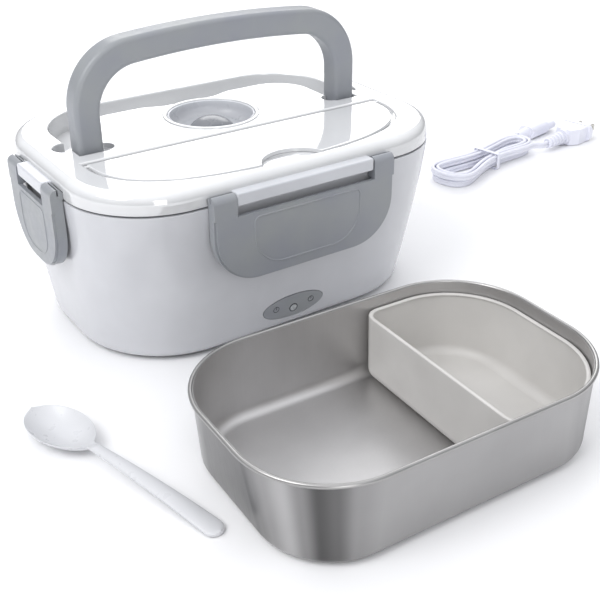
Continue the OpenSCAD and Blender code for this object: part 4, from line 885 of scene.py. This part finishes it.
def arch(half, top, radius, rise):
    """Right half of an arch: a round shoulder and a low crown that meets it smoothly."""
    flat = half - radius
    ball = (flat ** 2 + rise ** 2) / (2 * rise)
    centre = top - ball + math.sqrt((ball - radius) ** 2 - flat ** 2)
    lean = math.degrees(math.asin(flat / (ball - radius)))
    return arc(radius, 0, 90 - lean, SHOULDER_STEPS, (flat, centre)) + \
        arc(ball, 90 - lean, lean, CROWN_STEPS, (0, top - ball))[1:]


def bar_section(outer_point, inner_point, half_depth):
    """A rounded rectangle between two points of the arches."""
    outer, inner = Vector(outer_point), Vector(inner_point)
    half, way, middle = (outer - inner).length / 2, (outer - inner).normalized(), (outer + inner) / 2
    section = ring(half, half_depth, min(HANDLE_EDGE, half_depth * 0.95), 0, 6)
    return [(middle.x + u * way.x, PIVOT_Y + v, PIVOT_Z + middle.y + u * way.y) for u, v, _ in section]


foot = [(math.pi / 2) * (i + 0.5) / (FOOT_STEPS + 0.5) for i in range(FOOT_STEPS + 1)]
INNER_HALF = HANDLE_HALF - BAR_W
leg = [(-BAR_D / 2 * math.cos(a), BAR_D / 2 * math.sin(a)) for a in foot] + [(z, BAR_D / 2) for z in (8, 16)]
stations = [((HANDLE_HALF, z), (INNER_HALF, z), half_depth) for z, half_depth in leg]
stations += [(outside, inside, BAR_D / 2) for outside, inside in
             zip(arch(HANDLE_HALF, HANDLE_RISE, HANDLE_CORNER, CROWN),
                 arch(INNER_HALF, HANDLE_RISE - GRIP_H, HANDLE_CORNER - BAR_W + 3, CROWN))]
stations += [((-xo, zo), (-xi, zi), half_depth) for (xo, zo), (xi, zi), half_depth in stations[-2::-1]]
handle_mesh = loft("handle_bar", [bar_section(*station) for station in stations])
pegs = [rod("peg", PEG_R, [side * (HANDLE_HALF - 1), side * PEG_END], PIVOT_Y, PIVOT_Z, 32)
        for side in (1, -1)]
handle_mesh = joined("handle_bar", [even_shading(mesh, 50) for mesh in [handle_mesh] + pegs])
add_piece("handle_bar", handle_mesh, grey_abs, "handle", ("carry_handle",))
print("handle faces", len(handle_mesh.polygons))

# %% Softened copies of the plain parts
LATCH_EDGE = 1.8
EDGES = {"latch_" + side[0]: LATCH_EDGE for side in SIDES}
EDGES.update({"power_inlet": 0.7, "indicator_panel": 0.3, "base_cover": 0.6})
for name, width in EDGES.items():
    made = softened_node(name, width)
    print(name, "faces", len(made.data.polygons))

# %% [markdown]
# ## Food pan and tray
# The steel pan is deep-drawn: one sheet, thin walls with a little draft, a
# generous radius at the foot, and a rim rolled outwards so that no raw edge
# shows. A Geometry Nodes tree sweeps a round bead along the rim's outline, and
# the same tree rolls the tray's softer plastic edge.

# %% Bead swept along an outline
def bead_tree(name):
    """Sweeps a round bead along the edges of the mesh that it is given."""
    tree = bpy.data.node_groups.new(name, "GeometryNodeTree")
    for key, kind in (("Geometry", "Geometry"), ("Bead radius", "Float"), ("Flatness", "Float"),
                      ("Finish", "Material")):
        tree.interface.new_socket(key, in_out="INPUT", socket_type="NodeSocket" + kind)
    tree.interface.new_socket("Geometry", in_out="OUTPUT", socket_type="NodeSocketGeometry")
    given = add_node(tree, "NodeGroupInput")
    line = add_node(tree, "GeometryNodeMeshToCurve", {"Mesh": given.outputs["Geometry"]})
    section = add_node(tree, "GeometryNodeCurvePrimitiveCircle",
                       {"Resolution": 12, "Radius": given.outputs["Bead radius"]})
    scale = add_node(tree, "ShaderNodeCombineXYZ", {"X": 1.0, "Y": given.outputs["Flatness"], "Z": 1.0})
    flat = add_node(tree, "GeometryNodeTransform", {"Geometry": section.outputs["Curve"],
                                                    "Scale": scale.outputs["Vector"]})
    swept = add_node(tree, "GeometryNodeCurveToMesh", {"Curve": line.outputs["Curve"],
                                                       "Profile Curve": flat.outputs["Geometry"],
                                                       "Fill Caps": True})
    even = add_node(tree, "GeometryNodeSetShadeSmooth", {"Geometry": swept.outputs["Mesh"]})
    real = add_node(tree, "GeometryNodeRealizeInstances", {"Geometry": even.outputs["Geometry"]})
    finish = add_node(tree, "GeometryNodeSetMaterial", {"Geometry": real.outputs["Geometry"],
                                                        "Material": given.outputs["Finish"]})
    add_node(tree, "NodeGroupOutput", {"Geometry": finish.outputs["Geometry"]})
    return tree


BEAD = bead_tree("bead along an outline")


def swept_bead(name, outline, radius, material, flatness=1.0):
    """A bead round a closed outline in millimetres, made by the tree and kept as a plain mesh."""
    mesh = bpy.data.meshes.new(name)
    edges = [(i, (i + 1) % len(outline)) for i in range(len(outline))]
    mesh.from_pydata([Vector(p) * MM for p in outline], edges, [])
    holder = linked(name, mesh)
    sweep = holder.modifiers.new("sweep", "NODES")
    sweep.node_group = BEAD
    values = {"Bead radius": radius * MM, "Flatness": flatness, "Finish": material}
    for item in BEAD.interface.items_tree:
        if item.in_out == "INPUT" and item.name in values:
            sweep[item.identifier] = values[item.name]
    return baked(holder)


# %% [markdown]
# A thin dark grey lip runs round under the lid's edge, in the seam. It is
# painted shadow: a dark line that stands in for the shadow above the case.

# %% Seam lip, painted shadow
LIP_Z, LIP_IN, LIP_R = 99.9, 1.2, 0.5
lip_mesh = swept_bead("seam_shadow_lip", lid_ring(LIP_IN, LIP_Z), LIP_R, seam_shadow_grey)
add_piece("seam_shadow_lip", lip_mesh, seam_shadow_grey, "lid", slot="seal_silicone")

# %% Food pan
PAN_HALF, PAN_H, PAN_R, STEEL_T, RIM_T = (99.8, 65.0), 48.0, 48.5, 0.8, 1.6
END_DRAFT, SIDE_DRAFT, CORNER_DRAFT, FOOT_R, PAN_WALL_TOP = 6, 1.2, 9, 7, 47.2
FOOD_PLACE = placed(-21.8, -200.5, -2.5)


def foot_inset(z, edge, base):
    """How far a wall draws in round its foot, at a height."""
    up = max(0.0, z - base)
    return edge - math.sqrt(max(0.0, edge ** 2 - (edge - up) ** 2)) if up < edge else 0.0


def wall(outline, inset, edge, base, top, steps=9):
    """Rings of a wall: close together round the foot, then up to the top."""
    foot = [base + edge * (1 - math.cos(math.pi / 2 * i / steps)) for i in range(steps + 1)]
    return [outline(z, inset, edge, base) for z in foot + [20, 36, top]]


def pan_ring(z, inset, edge, base):
    """Outline of the pan at a height over its own base."""
    drawn = RIM_T + inset + foot_inset(z, edge, base)
    share = 1 - z / PAN_H
    return ring(PAN_HALF[0] - drawn - END_DRAFT * share, PAN_HALF[1] - drawn - SIDE_DRAFT * share,
                PAN_R - drawn - CORNER_DRAFT * share, z, 36)


outer = wall(pan_ring, 0, FOOT_R, 0, PAN_WALL_TOP)
inner = wall(pan_ring, STEEL_T, FOOT_R - STEEL_T, STEEL_T, PAN_WALL_TOP)
pan_mesh = loft("food_pan_drawn", outer + inner[::-1])
pan_mesh.transform(FOOD_PLACE)
pan_mesh = even_shading(pan_mesh, 60)
add_piece("food_pan_drawn", pan_mesh, drawn_steel, "food_pan", ("food_pan",))
pan_mesh.materials.append(satin_steel)
for face in pan_mesh.polygons:
    way_out = face.center - FOOD_PLACE.translation
    way_out.z = 0
    inside = face.normal.dot(way_out) < 0 if abs(face.normal.z) < 0.9 else face.normal.z > 0
    face.material_index = 1 if inside else 0
RIM_R = 1.2
rim_line = ring(PAN_HALF[0] - RIM_R, PAN_HALF[1] - RIM_R, PAN_R - RIM_R, PAN_H - RIM_R, 36)
rim_mesh = swept_bead("food_pan_rim", rim_line, RIM_R, rim_steel)
rim_mesh.transform(FOOD_PLACE)
add_piece("food_pan_rim", rim_mesh, rim_steel, "food_pan", slot="stainless_steel")

# %% Tray
TRAY_T, TRAY_W, TRAY_TOP, TRAY_FIT = 1.6, 75.0, PAN_H - 7, 0.6
TRAY_RIGHT = PAN_HALF[0] - RIM_T - STEEL_T - TRAY_FIT


def tray_ring(z, inset, edge, base):
    """Outline of the tray at a height: two corners follow the pan's, the two at the divider are small."""
    drawn = inset + foot_inset(z, edge, base)
    share = 1 - z / PAN_H
    reach = RIM_T + STEEL_T + TRAY_FIT + drawn
    half_d = PAN_HALF[1] - reach - SIDE_DRAFT * share
    corner = PAN_R - reach - CORNER_DRAFT * share
    small = max(1.0, 9 - drawn / 2)
    return corner_ring(TRAY_RIGHT - TRAY_W + drawn, PAN_HALF[0] - reach - END_DRAFT * share, -half_d, half_d,
                       [corner, small, small, corner], z, 30)


base, wall_top = STEEL_T + 0.3, TRAY_TOP - 0.5
outer = wall(tray_ring, 0, FOOT_R, base, wall_top) + [tray_ring(TRAY_TOP, 0.5, 0, base)]
inner = wall(tray_ring, TRAY_T, FOOT_R - TRAY_T, base + TRAY_T, wall_top)
inner.append(tray_ring(TRAY_TOP, TRAY_T - 0.5, 0, base))
tray_mesh = loft("tray_moulded", outer + inner[::-1])
tray_lip = swept_bead("tray_lip", tray_ring(TRAY_TOP - 0.7, 1.2, 0, base), 1.25, white_pp, 0.6)
tray_mesh = joined("tray_moulded", [even_shading(tray_mesh, 60), tray_lip])
tray_mesh.transform(FOOD_PLACE)
add_piece("tray_moulded", tray_mesh, white_pp, "tray", ("divider_tray",))

# %% [markdown]
# ## Spoon
# The spoon is one blade whose width, height and dish change along its length.
# Formulas give each at a point of the length, and a grid of points is laid on
# its upper and lower faces, so the bowl runs into the handle without a seam.

# %% Spoon
SPOON_PLACE = placed(-159.3, -99, -73.7)
BOWL_LEN, BOWL_W, BOWL_DEPTH, SPOON_T = 47.0, 28.5, 9.0, 1.6
SPOON_END, NECK_X, NECK_HALF, TIP_HALF, GRIP_T = 113.5, 21.5, 2.5, 5.3, 2.4
SPOON_ALONG, SPOON_ROUND = 150, 56


def spoon_half_width(x):
    """Half the blade's width: an egg for the bowl, then a handle that widens to a round tip."""
    share = max(-1.0, min(1.0, x / (BOWL_LEN / 2)))
    egg = BOWL_W / 2 * math.sqrt(1 - share * share) * (1 - 0.12 * max(0.0, share) ** 2)
    grip = 0.0
    if x > 0:
        widen = max(0.0, (x - NECK_X) / (SPOON_END - TIP_HALF - NECK_X))
        grip = NECK_HALF * ramp(x / 18) + (TIP_HALF - NECK_HALF) * min(1.0, widen)
        grip *= math.sqrt(max(0.0, 1 - max(0.0, (x - SPOON_END + TIP_HALF) / TIP_HALF) ** 2))
    return (egg ** 3 + grip ** 3) ** (1 / 3)


def spoon_section(x, steps):
    """The blade's closed section: flat above and below a dished middle line, with round edges."""
    half = spoon_half_width(x)
    share = min(1.0, abs(x) / (BOWL_LEN / 2 + (4 if x > 0 else 0)))
    bowl = max(0.0, 1 - share * share) ** 0.8
    fall = (BOWL_DEPTH - GRIP_T) * (max(0.0, x - NECK_X) / (SPOON_END - NECK_X)) ** 2
    thick = min(SPOON_T * bowl + GRIP_T * (1 - bowl), 2 * half)
    points = []
    for k in range(steps):
        across, rise = math.cos(2 * math.pi * k / steps), math.sin(2 * math.pi * k / steps)
        hollow = (BOWL_DEPTH - SPOON_T) * bowl * max(0.0, 1 - across * across) ** 0.9
        ridge = 0.5 * (1 - bowl) * (1 - across * across)
        middle = BOWL_DEPTH - fall - hollow + ridge - thick / 2
        z = middle + thick / 2 * math.copysign(abs(rise) ** 0.5, rise)
        points.append((x, half * across, max(0.0, z)))
    return points


spoon_rings = []
for i in range(1, SPOON_ALONG):
    x = -BOWL_LEN / 2 + (SPOON_END + BOWL_LEN / 2) * (1 - math.cos(math.pi * i / SPOON_ALONG)) / 2
    spoon_rings.append(spoon_section(x, SPOON_ROUND))
spoon_mesh = loft("spoon_blade", spoon_rings)
spoon_mesh.transform(SPOON_PLACE)
add_piece("spoon_blade", spoon_mesh, spoon_pp, "spoon", ("spoon",))
print("spoon faces", len(spoon_mesh.polygons))

# %% [markdown]
# ## Latch contours and indicator
# Each latch carries a fine raised line round its thumb panel, and the indicator
# has a ring round its lamp with two small round marks. All lines are beads
# swept by the tree, except the marks' short strokes. There is no lettering.

# %% Latch contours
LATCH_OUT = 7.2
CONTOUR_LOW, CONTOUR_TOP, CONTOUR_R = 60.0, 90.5, 0.6
for name, turn, reach, latch_half in SIDES:
    half, corner = (35.5, 19) if latch_half == LONG_HALF else (18.5, 14)
    face_y = -reach - LATCH_OUT + CONTOUR_R - 0.4
    line = [(x, face_y, z) for x, z, _ in
            corner_ring(-half, half, CONTOUR_LOW, CONTOUR_TOP, [3.5, 3.5, corner, corner], 0, 10)]
    contour = turned(swept_bead("contour", line, CONTOUR_R, grey_abs), turn)
    add_piece("latch_contour_" + name, contour, grey_abs, name + "_latch", slot="grey_plastic")

# %% Indicator marks
PROUD, LENS_DROP, MARK_X, MARK_Y = 0.4, 1.8, 12.5, 0.6


def round_mark(x, y, radius, thick):
    return swept_bead("mark", at_height(circle(radius, 32, (x, y)), PROUD), thick, dark_print)


marks = [round_mark(0, -LENS_DROP, 2.75, 0.22)]
for x in (MARK_X, -MARK_X):
    marks.append(round_mark(x, MARK_Y, 1.9, 0.2))
    marks.append(box_mesh("stroke", (x - 0.2, MARK_Y, PROUD - 0.1), (x + 0.2, 2.9, PROUD + 0.12)))
marks_mesh = joined("indicator_marks", marks)
marks_mesh.transform(PANEL_PLACE)
add_piece("indicator_marks", marks_mesh, dark_print, "case", slot="grey_plastic")

# %% [markdown]
# ## Stage and light
# The photograph is a studio cut-out on white: light from everywhere, a little
# stronger from the upper left and behind, with almost no shadow. The world glows
# most overhead and least at the horizon, which shades the upright walls and
# gives the steel something dark to reflect. Three soft lamps do the rest.

# %% Stage and light
HORIZON_GLOW, ZENITH_GLOW = 0.12, 1.4
paper = new_material("matte white paper", {"Base Color": hex_colour("#F4F4F5"), "Roughness": 0.8})[0]
floor_mesh = bpy.data.meshes.new("floor")
FLOOR = 6.0
floor_mesh.from_pydata([(-FLOOR, -FLOOR, 0), (FLOOR, -FLOOR, 0), (FLOOR, FLOOR, 0), (-FLOOR, FLOOR, 0)],
                       [], [(0, 1, 2, 3)])
floor_mesh.materials.append(paper)
linked("floor", floor_mesh)

world = bpy.data.worlds.new("studio")
bpy.context.scene.world = world
world.use_nodes = True
sky = world.node_tree
sky_way = add_node(sky, "ShaderNodeSeparateXYZ",
                   {"Vector": add_node(sky, "ShaderNodeTexCoord").outputs["Generated"]})
sky_glow = add_node(sky, "ShaderNodeMapRange",
                    {"Value": sky_way.outputs["Z"], "To Min": HORIZON_GLOW, "To Max": ZENITH_GLOW})
sky.nodes["Background"].inputs["Color"].default_value = hex_colour("#FBFCFF")
sky.links.new(sky_glow.outputs["Result"], sky.nodes["Background"].inputs["Strength"])
bpy.context.scene.view_settings.view_transform = "Standard"


def soft_box(name, at, aim, width, depth, power):
    """A rectangular area lamp at a point, turned to its aim."""
    lamp = bpy.data.lights.new(name, "AREA")
    lamp.shape = "RECTANGLE"
    lamp.size, lamp.size_y, lamp.energy = width, depth, power
    way = Vector(aim) - Vector(at)
    facing = way.to_track_quat("-Z", "Y").to_matrix().to_4x4()
    linked(name, lamp).matrix_world = Matrix.Translation(Vector(at)) @ facing


soft_box("key_lamp", (-1.1, -0.2, 1.3), (0, -0.05, 0.05), 0.9, 0.9, 11)
soft_box("back_lamp", (1.0, 1.5, 1.15), (0, 0, 0.1), 1.7, 1.1, 13)
soft_box("strip_lamp", (-0.45, -1.3, 0.35), (-0.15, -0.25, 0.03), 0.35, 0.9, 3)
